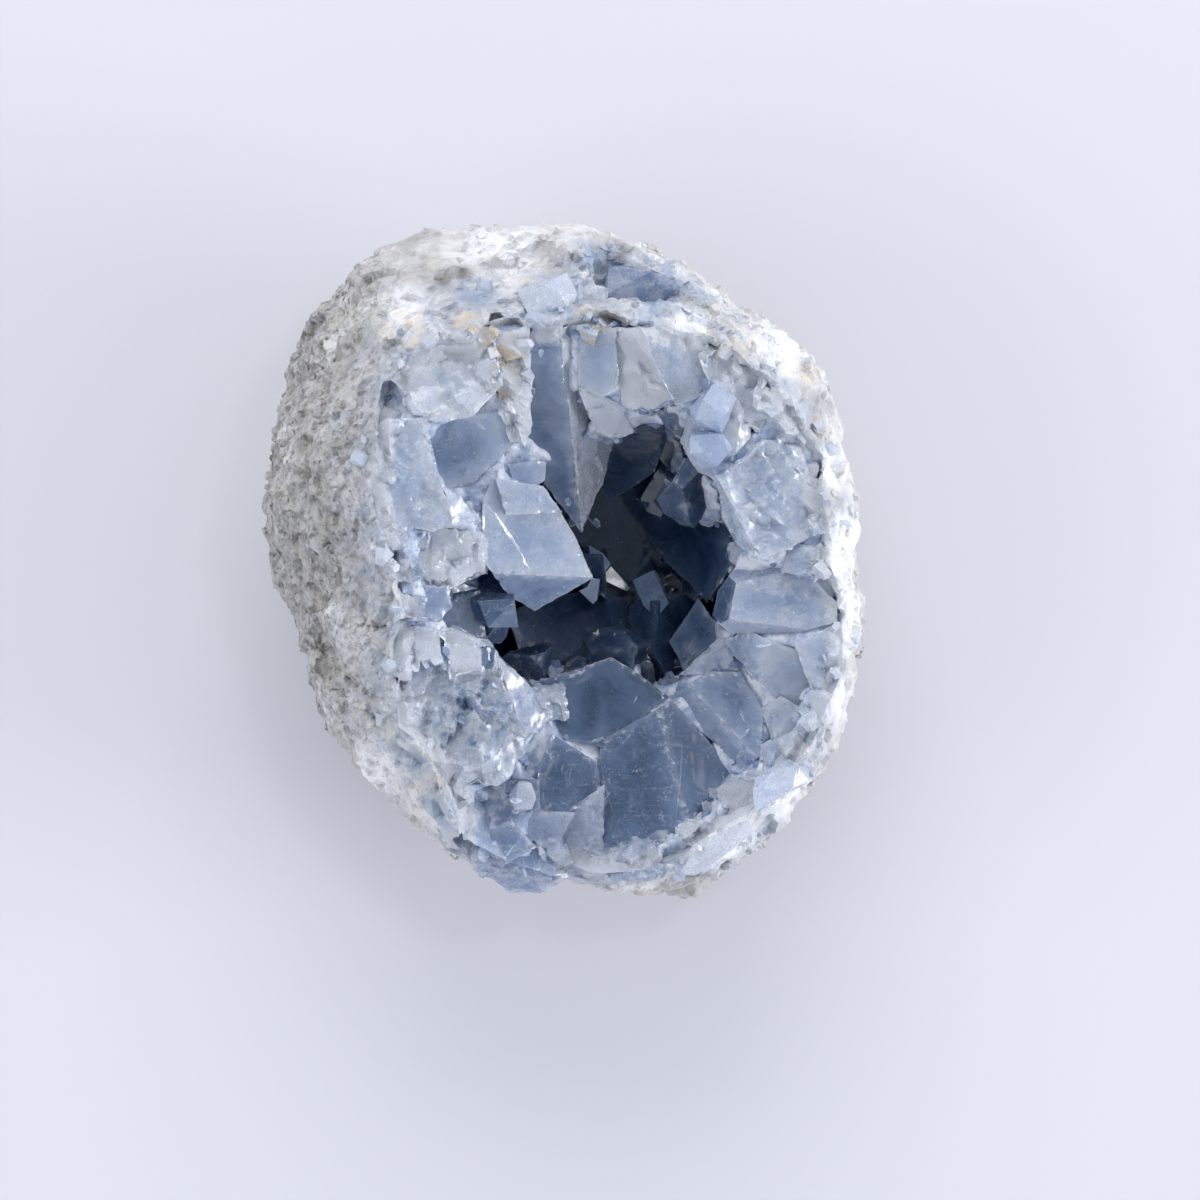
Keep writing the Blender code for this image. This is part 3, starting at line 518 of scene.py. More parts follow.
@dataclass(frozen=True)
class VeilFinish:
    """Healed cracks inside the crystals: thin milky films that half hide what is behind them."""

    pale: Colour = (0.80, 0.86, 0.94)
    alpha: tuple[float, float] = (0.12, 0.6)

    def material(self, effects: Effects) -> bpy.types.Material:
        """Builds the material.

        Args:
            effects: the shared node groups.

        Returns:
            The material.
        """
        material, graph, shader = new_material("veil")
        place = graph.millimetres()
        cloud = graph.group(effects.veils, Place=place, Fineness=0.9).outputs["Cloud"]
        low, high = self.alpha
        graph.feed(shader.inputs["Alpha"], graph.math("MULTIPLY_ADD", graph.step(cloud, 0.4, 0.62), high - low, low))
        graph.feed(shader.inputs["Base Color"], graph.mix(cloud, (0.6, 0.7, 0.85), self.pale))
        shader.inputs["Roughness"].default_value = 0.5
        return material


@dataclass(frozen=True)
class DustFinish:
    """Loose grains of rock dust."""

    tan: Colour = (0.42, 0.36, 0.29)

    def material(self) -> bpy.types.Material:
        """Builds the material."""
        material, _, shader = new_material("dust")
        shader.inputs["Base Color"].default_value = (*self.tan, 1.0)
        shader.inputs["Roughness"].default_value = 0.9
        return material


def merged_copy(node: str) -> bmesh.types.BMesh:
    """A CAD node's mesh with its loose triangles joined, in millimetres."""
    mesh = bmesh.new()
    mesh.from_mesh(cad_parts[node].data)
    bmesh.ops.scale(mesh, vec=(1 / MM,) * 3, verts=mesh.verts)
    bmesh.ops.remove_doubles(mesh, verts=mesh.verts, dist=0.002)
    return mesh


def into_box(points: list[Vector]) -> None:
    """Moves points, in millimetres, that stand outside the CAD box to its sides."""
    for point in points:
        for axis in range(3):
            low, high = CAD_BOX[0][axis] / MM, CAD_BOX[1][axis] / MM
            point[axis] = min(high, max(low, point[axis]))


def finished(name: str, mesh: bmesh.types.BMesh, material: bpy.types.Material, slot: Slot) -> bpy.types.Object:
    """Makes a piece that rides on the stone.

    Args:
        name: the piece's name.
        mesh: its mesh in millimetres, which is freed.
        material: its finish.
        slot: the record's slot for that finish; not used.

    Returns:
        The object.
    """
    into_box([vertex.co for vertex in mesh.verts])
    bmesh.ops.scale(mesh, vec=(MM,) * 3, verts=mesh.verts)
    data = bpy.data.meshes.new(name)
    mesh.to_mesh(data)
    mesh.free()
    data.materials.clear()
    data.materials.append(material)
    piece = bpy.data.objects.new(name, data)
    bpy.context.scene.collection.objects.link(piece)
    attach(piece, "root")
    return piece


def carry(mesh: bpy.types.Mesh, name: str, values: list[float], domain: str = "POINT") -> None:
    """Stores a number for each point or face of a mesh."""
    mesh.attributes.new(name, "FLOAT", domain).data.foreach_set("value", values)


@dataclass
class RockRind:
    """The rock outside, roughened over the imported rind."""

    voxel: float = 0.68
    lumps: tuple[float, float] = (6.0, 0.55)
    chips: tuple[float, float] = (3.4, 0.34)
    flakes: tuple[float, float] = (1.7, 0.15)
    grains: tuple[float, float] = (0.9, 0.06)
    sink: float = 0.35
    calm: tuple[float, float] = (0.45, 1.8)
    grip: float = 0.15
    grip_reach: float = 1.0
    darkening_edge: tuple[float, float] = (-21.0, -35.0)
    stains: tuple[tuple[float, float, float], ...] = (
        (413, 335, 26), (470, 330, 22), (505, 345, 20), (600, 330, 26), (725, 343, 26), (808, 372, 14), (820, 430, 16),
        (852, 672, 9), (440, 760, 24),
    )
    windows: tuple[tuple[float, float, float], ...] = (
        (600, 275, 40), (655, 290, 45), (560, 300, 30), (480, 300, 26), (440, 345, 30), (690, 300, 26), (820, 420, 22),
        (845, 510, 18), (400, 440, 40), (385, 520, 36), (370, 590, 34), (395, 480, 30), (345, 545, 18), (420, 395, 24),
        (640, 880, 50), (740, 850, 34), (560, 880, 40),
    )
    # Spots painted whiter: some are white rock, and those down the right side are painted highlight where that side is
    # lit.
    white_and_highlight_spots: tuple[tuple[float, float, float], ...] = (
        (722, 835, 40), (780, 790, 30), (325, 700, 40), (360, 770, 44), (300, 640, 24), (835, 640, 26), (830, 560, 24), (855, 600, 36), (850, 700, 30), (835, 470, 26), (850, 530, 26), (780, 350, 30),
        (690, 330, 20), (350, 640, 30), (400, 320, 34), (500, 250, 40),
    )
    pits: tuple[tuple[float, float, float], ...] = ((447, 284, 10), (466, 278, 10), (620, 262, 8), (575, 262, 7))

    def roughness_at(self, place: Vector) -> float:
        """How far broken rock stands out at a place.

        Args:
            place: a point in millimetres.

        Returns:
            Millimetres outwards.
        """
        size, height = self.lumps
        out = noise.noise(place / size) * height
        for size, tilt in (self.chips, self.flakes):
            distances, centres = noise.voronoi(place / size)
            lean = noise.cell_vector(centres[0] * 7.3) - Vector((0.5, 0.5, 0.5))
            out += lean.dot(place / size - centres[0]) * size * tilt * 2
        size, height = self.grains
        out += noise.noise(place / size) * height
        pit = smooth(noise.noise(place / 2.6 + Vector((9, 4, 7))), 0.3, 0.65)
        return out - self.sink - 0.45 * pit

    def build(self, crust: BVHTree) -> bpy.types.Object:
        """Builds the rind's mesh.

        Args:
            crust: the crystals, which the rock stays clear of.

        Returns:
            The roughened mesh in millimetres, and each point's distance from the crystals before it moved.
        """
        source = merged_copy("rind")
        data = bpy.data.meshes.new("rind_source")
        source.to_mesh(data)
        source.free()
        holder = bpy.data.objects.new("rind_source", data)
        bpy.context.scene.collection.objects.link(holder)
        remesh = holder.modifiers.new("grid", "REMESH")
        remesh.mode, remesh.voxel_size, remesh.adaptivity = "VOXEL", self.voxel, 0.0
        graph = bpy.context.evaluated_depsgraph_get()
        mesh = bmesh.new()
        mesh.from_mesh(holder.evaluated_get(graph).data)
        bpy.data.objects.remove(holder)
        mesh.normal_update()
        normals = [vertex.normal.copy() for vertex in mesh.verts]
        nearest = [crust.find_nearest(vertex.co) for vertex in mesh.verts]
        gaps = [found[3] for found in nearest]
        moved = []
        for vertex, normal, found in zip(mesh.verts, normals, nearest):
            gap = found[3]
            rough = smooth(gap, *self.calm)
            place = vertex.co + normal * (self.roughness_at(vertex.co) * rough if rough else 0.0)
            if gap < self.grip_reach:
                pull = 1 - smooth(gap, 0.6, self.grip_reach)
                place += (found[0] - vertex.co).normalized() * (gap + self.grip) * pull
            moved.append(place)
        for vertex, place in zip(mesh.verts, moved):
            vertex.co = place
        for vertex in mesh.verts:
            if vertex.co.z < 1.0 and vertex.normal.z < -0.6:
                vertex.co.z = max(0.0, vertex.co.z - self.sink)
        return mesh, gaps

    def spots(self, place: Vector, table: tuple[tuple[float, float, float], ...]) -> float:
        """How near a place is to the middle of any of a table's spots, from 0 to 1."""
        best = 0.0
        for column, row, reach in table:
            x, y = seen_at(column, row)
            away = math.hypot(place.x - x, place.y - y) / (reach * PHOTO_MM)
            if away < 1.4:
                best = max(best, 1 - smooth(away, 0.35, 1.3))
        return best

    def make(self, crust: BVHTree, material: bpy.types.Material) -> bpy.types.Object:
        """Builds and dresses the rind.

        Args:
            crust: the crystals.
            material: the rock's finish.

        Returns:
            The piece.
        """
        mesh, gaps = self.build(crust)
        places = [vertex.co.copy() for vertex in mesh.verts]
        piece = finished("rock_rind", mesh, material, Slot.ROCK)
        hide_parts("rind")
        low, high = self.darkening_edge
        # Where the rock is painted greyer and darker: towards the far left and low down the sides.
        darkening = [max((1 - smooth(p.x, high, low)) * smooth(p.y, -38, -16), 0.75 * (1 - smooth(p.z, 8, 36))) for p in places]
        upper = [smooth(p.z + 7 * noise.noise(p / 6.0), 28, 40) for p in places]
        window = [max(self.spots(p, self.windows) * u, 0.7 * (1 - smooth(g, 1.0, 5.0))) if p.z > 20 else 0.25 for p, g, u in zip(places, gaps, upper)]
        carry(piece.data, "darkening", darkening)
        carry(piece.data, "matrix", [(1 - smooth(g, 2.0, 13.0)) * smooth(p.z, 26, 36) * (1 - 0.7 * smooth(p.x, 28, 40)) for p, g in zip(places, gaps)])
        carry(piece.data, "window", window)
        carry(piece.data, "stain", [self.spots(p, self.stains) * u for p, u in zip(places, upper)])
        carry(piece.data, "white_and_highlight", [self.spots(p, self.white_and_highlight_spots) * u * smooth(p.z, 29, 40) for p, u in zip(places, upper)])
        carry(piece.data, "pit", [self.spots(p, self.pits) if p.z > 30 else 0.0 for p in places])
        return piece


@dataclass(frozen=True)
class Zone:
    """The finish of the facets round one place: how deep their blue is, how milky and how frosted they are. Some zones
    use these to paint shade, some to paint light.
    """

    column: float
    row: float
    reach: float
    tone: float
    milk: float = 0.3
    frost: float = 0.0


ZONES = {
    "frosted_block": Zone(465, 712, 62, 0.5, 0.75, 0.3),
    "frosted_tip": Zone(522, 700, 30, 0.5, 0.7, 0.1),
    "block_front": Zone(470, 764, 40, 0.26, 0.75, 0.25),
    "knob_left": Zone(428, 645, 18, 0.08, 0.5),
    "knob_right": Zone(465, 650, 24, 0.1, 0.6),
    "dark_knob": Zone(484, 608, 34, 0.86, 0.1),
    # dark_nook is painted dark for the shade in its nook.
    "dark_nook": Zone(512, 645, 28, 0.82, 0.0),
    "tall_blade": Zone(556, 420, 38, 0.6, 0.12),
    "blade_foot": Zone(562, 500, 24, 0.8, 0.05),
    # blade_side is painted near white in place of light that its facet, turned from the lamps, doesn't get.
    "blade_side": Zone(586, 424, 16, 0.0, 0.5),
    "blade_top": Zone(553, 340, 26, 0.06, 0.6),
    "top_window": Zone(600, 365, 18, 0.32, 0.3),
    # top_veil is a milky veil, painted whiter still in place of light that its facet, turned from the key, doesn't get.
    "top_veil": Zone(638, 376, 18, 0.0, 1.0, 0.8),
    "roof_knob": Zone(612, 420, 18, 0.08, 0.5),
    "roof_face": Zone(684, 370, 32, 0.22, 0.5),
    "clear_drop": Zone(714, 425, 30, 0.08, 0.4),
    "upper_right": Zone(774, 400, 32, 0.04, 0.65, 0.25),
    "milky_right": Zone(774, 490, 44, 0.36, 0.65, 0.1),
    "right_lip": Zone(735, 505, 20, 0.33, 0.6),
    "round_right": Zone(775, 600, 40, 0.36, 0.45),
    "fan_face": Zone(732, 690, 38, 0.52, 0.3),
    "right_slab": Zone(792, 700, 36, 0.26, 0.35),
    "great_block": Zone(660, 760, 50, 0.67, 0.3),
    "dark_slab": Zone(600, 690, 38, 0.75, 0.05),
    "left_facet": Zone(560, 760, 36, 0.7, 0.25),
    "broken_white": Zone(722, 835, 40, 0.0, 0.95, 0.3),
    "corner_prism": Zone(510, 855, 30, 0.5, 0.5, 0.05),
    "lower_rim": Zone(600, 860, 50, 0.4, 0.5, 0.15),
    "bright_slab": Zone(528, 545, 36, 0.27, 0.45),
    "slab_lip": Zone(548, 592, 30, 0.42, 0.2),
    "dark_recess": Zone(470, 455, 34, 0.38, 0.25),
    "upper_left": Zone(445, 370, 40, 0.08, 0.7, 0.1),
    # stained_rib has a real stain, and is painted as white as it goes to make up for the shade the rim casts on it.
    "stained_rib": Zone(514, 384, 18, 0.0, 1.0, 0.9),
    "left_block": Zone(430, 500, 36, 0.27, 0.65, 0.1),
    "milky_left": Zone(455, 555, 32, 0.1, 0.7),
    "small_left": Zone(430, 610, 18, 0.48, 0.4),
    "far_left": Zone(380, 560, 30, 0.6, 0.5, 0.05),
    # Painted shade: the deep zones below paint the hollow's shade as near-black navy.
    "deep_north": Zone(652, 450, 30, 0.95, 0.0),
    "deep_middle": Zone(660, 525, 50, 0.95, 0.0),
    "deep_wall": Zone(694, 500, 24, 0.99, 0.0),
    "deep_south": Zone(592, 640, 44, 0.92, 0.0),
    "deep_east": Zone(700, 590, 30, 0.93, 0.0),
}


@dataclass
class CrystalCrust:
    """The crust of crystals, with crisp facets and chipped edges."""

    longest: float = 0.95
    chip: tuple[float, float] = (0.85, 0.35)
    crackle: tuple[tuple[float, float], ...] = ((4.2, 0.7), (1.7, 0.3))
    hollow_middle: tuple[float, float] = (10.0, -3.5)
    hollow_reach: float = 27.0
    hollow_shade_levels: tuple[float, float] = (34.0, 25.0)
    stains: tuple[tuple[float, float, float], ...] = ((505, 398, 9), (512, 365, 16), (500, 345, 20), (600, 328, 20))
    dusty: tuple[tuple[float, float, float], ...] = ((610, 690, 60), (650, 720, 50), (740, 700, 60), (600, 640, 70))
    bed_finish: tuple[float, float, float] = (0.05, 0.5, 0.0)
    edge_light_reach: float = 4.5
    seed: int = 41

    def facet_mesh(self) -> bmesh.types.BMesh:
        """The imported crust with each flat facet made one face."""
        mesh = merged_copy("crystal_crust")
        bmesh.ops.dissolve_limit(mesh, angle_limit=math.radians(1.2), verts=mesh.verts, edges=mesh.edges)
        return mesh

    def inside_hollow(self, place: Vector) -> float:
        """1 inside the hollow's plan and 0 outside it."""
        x, y = self.hollow_middle
        return 1 - smooth(math.hypot(place.x - x, place.y - y), self.hollow_reach - 4, self.hollow_reach)

    def finish_of(self, centre: Vector, chance: random.Random) -> tuple[float, float, float]:
        """The tone, milkiness and frost of a facet.

        Args:
            centre: the facet's middle in millimetres.
            chance: gives the small differences between facets.

        Returns:
            The three numbers.
        """
        def away(zone: Zone) -> float:
            """How far the facet is from a zone, as a share of its reach."""
            x, y = seen_at(zone.column, zone.row)
            return math.hypot(centre.x - x, centre.y - y) / (zone.reach * PHOTO_MM)

        zone = min(ZONES.values(), key=away)
        near = 1 - smooth(away(zone), 0.9, 1.8)
        tone = zone.tone * near + 0.36 * (1 - near)
        milk = zone.milk * near + 0.55 * (1 - near)
        # Painted shade: facets low in the hollow are painted near-black navy and lose their milkiness.
        top, floor = self.hollow_shade_levels
        deep = self.inside_hollow(centre) * (1 - smooth(centre.z, floor, top))
        tone = tone * (1 - deep) + 0.95 * deep
        milk *= 1 - deep
        return tone + chance.uniform(-0.05, 0.05), milk + chance.uniform(-0.08, 0.08), zone.frost * near

    def make(self, rind: BVHTree, material: bpy.types.Material) -> bpy.types.Object:
        """Builds and dresses the crust.

        Args:
            rind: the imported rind, which marks where the crust is frosted.
            material: the crystals' finish.

        Returns:
            The piece.
        """
        mesh = self.facet_mesh()
        mesh.normal_update()
        chance = random.Random(self.seed)
        layer = mesh.faces.layers.int.new("facet")
        finishes, bed = [], []
        for number, face in enumerate(mesh.faces):
            face[layer] = number
            middle = face.calc_center_median_weighted()
            finishes.append(self.finish_of(middle, chance))
            bed.append(max(rind.find_nearest(v.co)[3] for v in face.verts) < 0.6)
            if bed[-1]:
                tone, milk, frost = self.bed_finish
                # Painted shade: bed facets inside the hollow are painted dark.
                tone += (0.9 - tone) * self.inside_hollow(middle)
                finishes[-1] = (tone, milk, frost)
        log.info("crust facets: %d", len(finishes))
        ridges = []
        for edge in mesh.edges:
            if len(edge.link_faces) == 2 and edge.is_convex and edge.calc_face_angle(0) > 0.3:
                a, b = edge.verts[0].co, edge.verts[1].co
                steps = max(1, int((b - a).length / 0.3))
                ridges += [a.lerp(b, i / steps) for i in range(steps + 1)]
        tree = kdtree.KDTree(len(ridges))
        for number, place in enumerate(ridges):
            tree.insert(place, number)
        tree.balance()
        bmesh.ops.triangulate(mesh, faces=mesh.faces)
        for _ in range(9):
            edges = [
                e for e in mesh.edges
                if e.calc_length() > self.longest and not all(bed[f[layer]] for f in e.link_faces)
            ]
            if not edges:
                break
            bmesh.ops.subdivide_edges(mesh, edges=edges, cuts=1)
            bmesh.ops.triangulate(mesh, faces=[f for f in mesh.faces if len(f.verts) > 3])
        mesh.normal_update()
        normals = [vertex.normal.copy() for vertex in mesh.verts]
        gaps = [rind.find_nearest(vertex.co)[3] for vertex in mesh.verts]
        reach, depth = self.chip
        ridge, thin = [], []
        for vertex, normal, gap in zip(mesh.verts, normals, gaps):
            away = tree.find(vertex.co)[2]
            # Painted light through thin crystal: paler within a few millimetres of the edges.
            thin.append(1 - smooth(away, 0.2, self.edge_light_reach))
            near = 1 - smooth(away, 0.1, reach)
            break_off = smooth(noise.noise(vertex.co / 1.3), 0.05, 0.6) + 0.25 * smooth(noise.noise(vertex.co / 0.5), 0.0, 0.5)
            ridge.append(near * (0.35 + 0.65 * min(1.0, break_off)))
            if gap > 0.5:
                rough = max(self.roughness_of(finishes[f[layer]]) for f in vertex.link_faces)
                rough = max(rough, 1 - smooth(gap, 1.0, 5.0))
                out = self.relief_at(vertex.co, rough) * smooth(gap, 0.5, 1.5)
                vertex.co = vertex.co + normal * (out - near * break_off * depth)
        places = [vertex.co.copy() for vertex in mesh.verts]
        facets = [face[layer] for face in mesh.faces]
        piece = finished("crystal_facets", mesh, material, Slot.CELESTITE)
        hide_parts("crystal_crust")
        piece.data.set_sharp_from_angle(angle=math.radians(10))
        carry(piece.data, "tone", [finishes[f][0] for f in facets], "FACE")
        carry(piece.data, "milk", [finishes[f][1] for f in facets], "FACE")
        frost_face = [finishes[f][2] for f in facets]
        carry(piece.data, "rime", frost_face, "FACE")
        carry(piece.data, "frost", [0.75 * (1 - smooth(g, 0.8, 4.5)) * smooth(p.z, 24, 34) for p, g in zip(places, gaps)])
        carry(piece.data, "ridge", ridge)
        carry(piece.data, "edge", thin)
        spots = RockRind().spots
        carry(piece.data, "stain", [spots(p, self.stains) for p in places])
        carry(piece.data, "dust", [spots(p, self.dusty) for p in places])
        self.bed = [bed[f] for f in facets]
        return piece

    @staticmethod
    def roughness_of(finish: tuple[float, float, float]) -> float:
        """How broken a facet of this finish is, from 0 for smooth to 1."""
        tone, milk, frost = finish
        return smooth(0.75 * milk + frost - 0.35 * tone, 0.1, 0.75)

    def relief_at(self, place: Vector, rough: float) -> float:
        """How far a facet stands out at a place.

        Args:
            place: a point in millimetres.
            rough: how broken the facet is.

        Returns:
            Millimetres outwards.
        """
        out = (noise.noise(place / 8.0) * 0.9 + noise.noise(place / 2.8) * 0.3) * rough + noise.noise(place / 5.0) * 0.07
        if rough > 0.15:
            for size, tilt in self.crackle:
                distances, centres = noise.voronoi(place / size)
                lean = noise.cell_vector(centres[0] * 7.3) - Vector((0.5, 0.5, 0.5))
                out += lean.dot(place / size - centres[0]) * size * tilt * rough
        return out

    def surface(self, piece: bpy.types.Object, name: str, grow: list[float]) -> bpy.types.Mesh:
        """A copy of the crust's mesh that says where small pieces grow.

        Args:
            piece: the finished crust.
            name: the copy's name.
            grow: how thickly they grow at each point.

        Returns:
            The mesh.
        """
        data = piece.data.copy()
        data.name = name
        carry(data, "grow", grow)
        return data


def scatter_tree(name: str) -> bpy.types.NodeTree:
    """The Geometry Nodes tree that grows small pieces where a surface's grow number says so.

    Args:
        name: the tree's name.

    Returns:
        The tree, with an input for each size.
    """
    tree = bpy.data.node_groups.new(name, "GeometryNodeTree")
    face = tree.interface
    face.new_socket("Surface", in_out="INPUT", socket_type="NodeSocketGeometry")
    for label, kind in Sprinkle.INPUTS.items():
        face.new_socket(label, in_out="INPUT", socket_type=f"NodeSocket{kind}")
    face.new_socket("Pieces", in_out="OUTPUT", socket_type="NodeSocketGeometry")
    graph = Graph(tree)
    given, out = graph.add("NodeGroupInput").outputs, graph.add("NodeGroupOutput")
    grow = graph.add("GeometryNodeInputNamedAttribute", {"Name": "grow"}, data_type="FLOAT").outputs[0]
    points = graph.add(
        "GeometryNodeDistributePointsOnFaces",
        {"Mesh": given["Surface"], "Density": graph.math("MULTIPLY", given["Density"], grow), "Seed": given["Seed"]},
    )
    def chance(low: object, high: object, offset: int, kind: str = "FLOAT") -> bpy.types.NodeSocket:
        """A random number or vector for each piece, between two bounds."""
        node = graph.add("FunctionNodeRandomValue", data_type=kind)
        wanted = "VECTOR" if kind == "FLOAT_VECTOR" else "VALUE"
        ends = [socket for socket in node.inputs if socket.type == wanted]
        graph.feed(ends[0], low)
        graph.feed(ends[1], high)
        graph.feed(node.inputs["Seed"], graph.math("ADD", given["Seed"], float(offset)))
        return next(socket for socket in node.outputs if socket.type == wanted)
    down = graph.math("MULTIPLY", chance(given["Sink Least"], given["Sink Most"], 1), -1.0)
    move = graph.add("ShaderNodeVectorMath", {0: points.outputs["Normal"], "Scale": down}, operation="SCALE")
    sunk = graph.add("GeometryNodeSetPosition", {"Geometry": points.outputs["Points"], "Offset": move.outputs[0]})
    cone = graph.add(
        "GeometryNodeMeshCone",
        {"Vertices": given["Sides"], "Radius Top": given["Tip"], "Radius Bottom": 1.0, "Depth": 2.0},
    )
    lean = graph.add("ShaderNodeCombineXYZ", {0: given["Lean"], 1: given["Lean"], 2: 3.14}).outputs[0]
    back = graph.add("ShaderNodeVectorMath", {0: lean, "Scale": -1.0}, operation="SCALE").outputs[0]
    turn = graph.add("FunctionNodeEulerToRotation", {0: chance(back, lean, 2, "FLOAT_VECTOR")})
    turned = graph.add("FunctionNodeRotateRotation", {0: points.outputs["Rotation"], 1: turn.outputs[0]}, rotation_space="LOCAL")
    size = chance(given["Smallest"], given["Largest"], 3)
    flat = graph.math("MULTIPLY", size, chance(0.45, 1.0, 4))
    tall = graph.math("MULTIPLY", size, given["Height"])
    shape = graph.add("ShaderNodeCombineXYZ", {0: size, 1: flat, 2: tall})
    placed = graph.add(
        "GeometryNodeInstanceOnPoints",
        {"Points": sunk.outputs[0], "Instance": cone.outputs["Mesh"], "Rotation": turned.outputs[0], "Scale": shape.outputs[0]},
    )
    real = graph.add("GeometryNodeRealizeInstances", {0: placed.outputs[0]})
    dressed = graph.add("GeometryNodeSetMaterial", {"Geometry": real.outputs[0], "Material": given["Finish"]})
    graph.feed(out.inputs[0], dressed.outputs[0])
    return tree


@dataclass
class Sprinkle:
    """Small pieces scattered over a surface by Geometry Nodes."""

    INPUTS = {
        "Density": "Float", "Seed": "Int", "Sides": "Int", "Tip": "Float", "Smallest": "Float", "Largest": "Float",
        "Height": "Float", "Lean": "Float", "Sink Least": "Float", "Sink Most": "Float", "Finish": "Material",
    }
    name: str
    slot: Slot
    density: float
    sizes: tuple[float, float]
    height: float = 1.3
    sides: int = 5
    tip: float = 0.55
    lean: float = 0.5
    sink: tuple[float, float] = (0.0, 0.3)
    seed: int = 3

    def make(self, tree: bpy.types.NodeTree, surface: bpy.types.Mesh, material: bpy.types.Material) -> bpy.types.Object:
        """Grows the pieces and makes them one plain mesh.

        Args:
            tree: the scattering tree.
            surface: what they grow on, which carries grow for each point.
            material: their finish.

        Returns:
            The piece.
        """
        holder = bpy.data.objects.new(self.name + "_surface", surface)
        bpy.context.scene.collection.objects.link(holder)
        modifier = holder.modifiers.new("grow", "NODES")
        modifier.node_group = tree
        values = {
            "Density": self.density / MM**2, "Seed": self.seed, "Sides": self.sides, "Tip": self.tip,
            "Smallest": self.sizes[0] * MM, "Largest": self.sizes[1] * MM, "Height": self.height, "Lean": self.lean,
            "Sink Least": self.sink[0] * MM, "Sink Most": self.sink[1] * MM, "Finish": material,
        }
        for item in tree.interface.items_tree:
            if item.in_out == "INPUT" and item.name in values:
                modifier[item.identifier] = values[item.name]
        graph = bpy.context.evaluated_depsgraph_get()
        data = bpy.data.meshes.new_from_object(holder.evaluated_get(graph), preserve_all_data_layers=True, depsgraph=graph)
        bpy.data.objects.remove(holder)
        data.name = self.name
        data.materials.clear()
        data.materials.append(material)
        data.polygons.foreach_set("material_index", [0] * len(data.polygons))
        points = [vertex.co / MM for vertex in data.vertices]
        into_box(points)
        data.vertices.foreach_set("co", [value * MM for point in points for value in point])
        piece = bpy.data.objects.new(self.name, data)
        bpy.context.scene.collection.objects.link(piece)
        data.shade_flat()
        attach(piece, "root")
        log.info("%s: %d faces", piece.name, len(data.polygons))
        return piece


def tree_of(piece: bpy.types.Object) -> BVHTree:
    """A finished piece's surface, in millimetres."""
    points = [vertex.co / MM for vertex in piece.data.vertices]
    return BVHTree.FromPolygons(points, [tuple(face.vertices) for face in piece.data.polygons])


def seen_on(under: list[BVHTree], column: float, row: float) -> tuple[Vector, Vector]:
    """The place and the normal of the highest surface at a column and row of the photograph."""
    x, y = seen_at(column, row)
    hits = [tree.ray_cast(Vector((x, y, 90)), Vector((0, 0, -1))) for tree in under]
    return max((hit[:2] for hit in hits if hit[0]), key=lambda hit: hit[0].z)


@dataclass(frozen=True)
class Prism:
    """One small crystal: its place in the photograph, its size in millimetres, its turn and lean in degrees and its finish."""

    column: float
    row: float
    size: Colour
    turn: float
    lean: float
    tone: float
    milk: float = 0.5
    frost: float = 0.0
    upright: bool = False


PRISMS = {
    "dark_knob": Prism(492, 603, (10.5, 10.5, 18.0), 30, 4, 0.6, 0.4, 0.15, upright=True),
    "drop_upper": Prism(710, 410, (7.4, 6.0, 5.0), 70, 16, 0.16, 0.5),
    "drop_lower": Prism(708, 446, (7.0, 6.0, 5.0), 110, -18, 0.22, 0.4),
    "white_slab": Prism(714, 840, (13.0, 8.0, 4.0), 18, 8, 0.0, 0.95, 0.55),
    "right_slab": Prism(778, 786, (11.0, 7.0, 4.0), 32, 10, 0.14, 0.8, 0.2),
    "little_rhomb": Prism(524, 794, (4.8, 4.0, 3.0), 70, 10, 0.08, 0.7, 0.1),
    "top_slab": Prism(640, 290, (12.0, 7.0, 3.4), -14, 8, 0.4, 0.75, 0.1),
    "top_block": Prism(548, 302, (9.0, 7.0, 4.0), 10, 8, 0.12, 0.9, 0.3),
}


@dataclass
class PlacedPrisms:
    """The small crystals that stand out in the photograph, each bedded in what lies under it."""

    corners: int = 15
    bury: float = 0.4
    top: float = 90.0
    seed: int = 6

    def broken(self, size: Colour, chance: random.Random) -> list[Vector]:
        """The corners of one broken piece round its own middle, squarer than a ball."""
        points = []
        for _ in range(self.corners):
            way = Vector((chance.gauss(0, 1), chance.gauss(0, 1), chance.gauss(0, 1))).normalized()
            way /= max(abs(value) for value in way) ** 0.6
            points.append(Vector(value * side / 2 for value, side in zip(way, size)))
        return points

    def make(self, under: list[BVHTree], material: bpy.types.Material) -> bpy.types.Object:
        """Builds and dresses the crystals.

        Args:
            under: the finished crust and rind that they stand on.
            material: the crystals' finish.

        Returns:
            The piece.
        """
        mesh = bmesh.new()
        finishes = []
        chance = random.Random(self.seed)
        for prism in PRISMS.values():
            place, normal = seen_on(under, prism.column, prism.row)
            if prism.upright:
                normal = Vector((0, 0, 1))
            turn = Matrix.Rotation(math.radians(prism.turn), 3, "Z") @ Matrix.Rotation(math.radians(prism.lean), 3, "X")
            stand = Vector((0, 0, 1)).rotation_difference(normal).to_matrix() @ turn
            middle = place + normal * prism.size[2] * (0.5 - self.bury)
            verts = [mesh.verts.new(middle + stand @ corner) for corner in self.broken(prism.size, chance)]
            before = len(mesh.faces)
            bmesh.ops.convex_hull(mesh, input=verts)
            finishes += [prism] * (len(mesh.faces) - before)
        for vertex in [v for v in mesh.verts if not v.link_faces]:
            mesh.verts.remove(vertex)
        bmesh.ops.recalc_face_normals(mesh, faces=mesh.faces)
        piece = finished("placed_prisms", mesh, material, Slot.CELESTITE)
        for name in ("tone", "milk", "frost"):
            carry(piece.data, "rime" if name == "frost" else name, [getattr(prism, name) for prism in finishes], "FACE")
        log.info("%s: %d faces", piece.name, len(piece.data.polygons))
        return piece


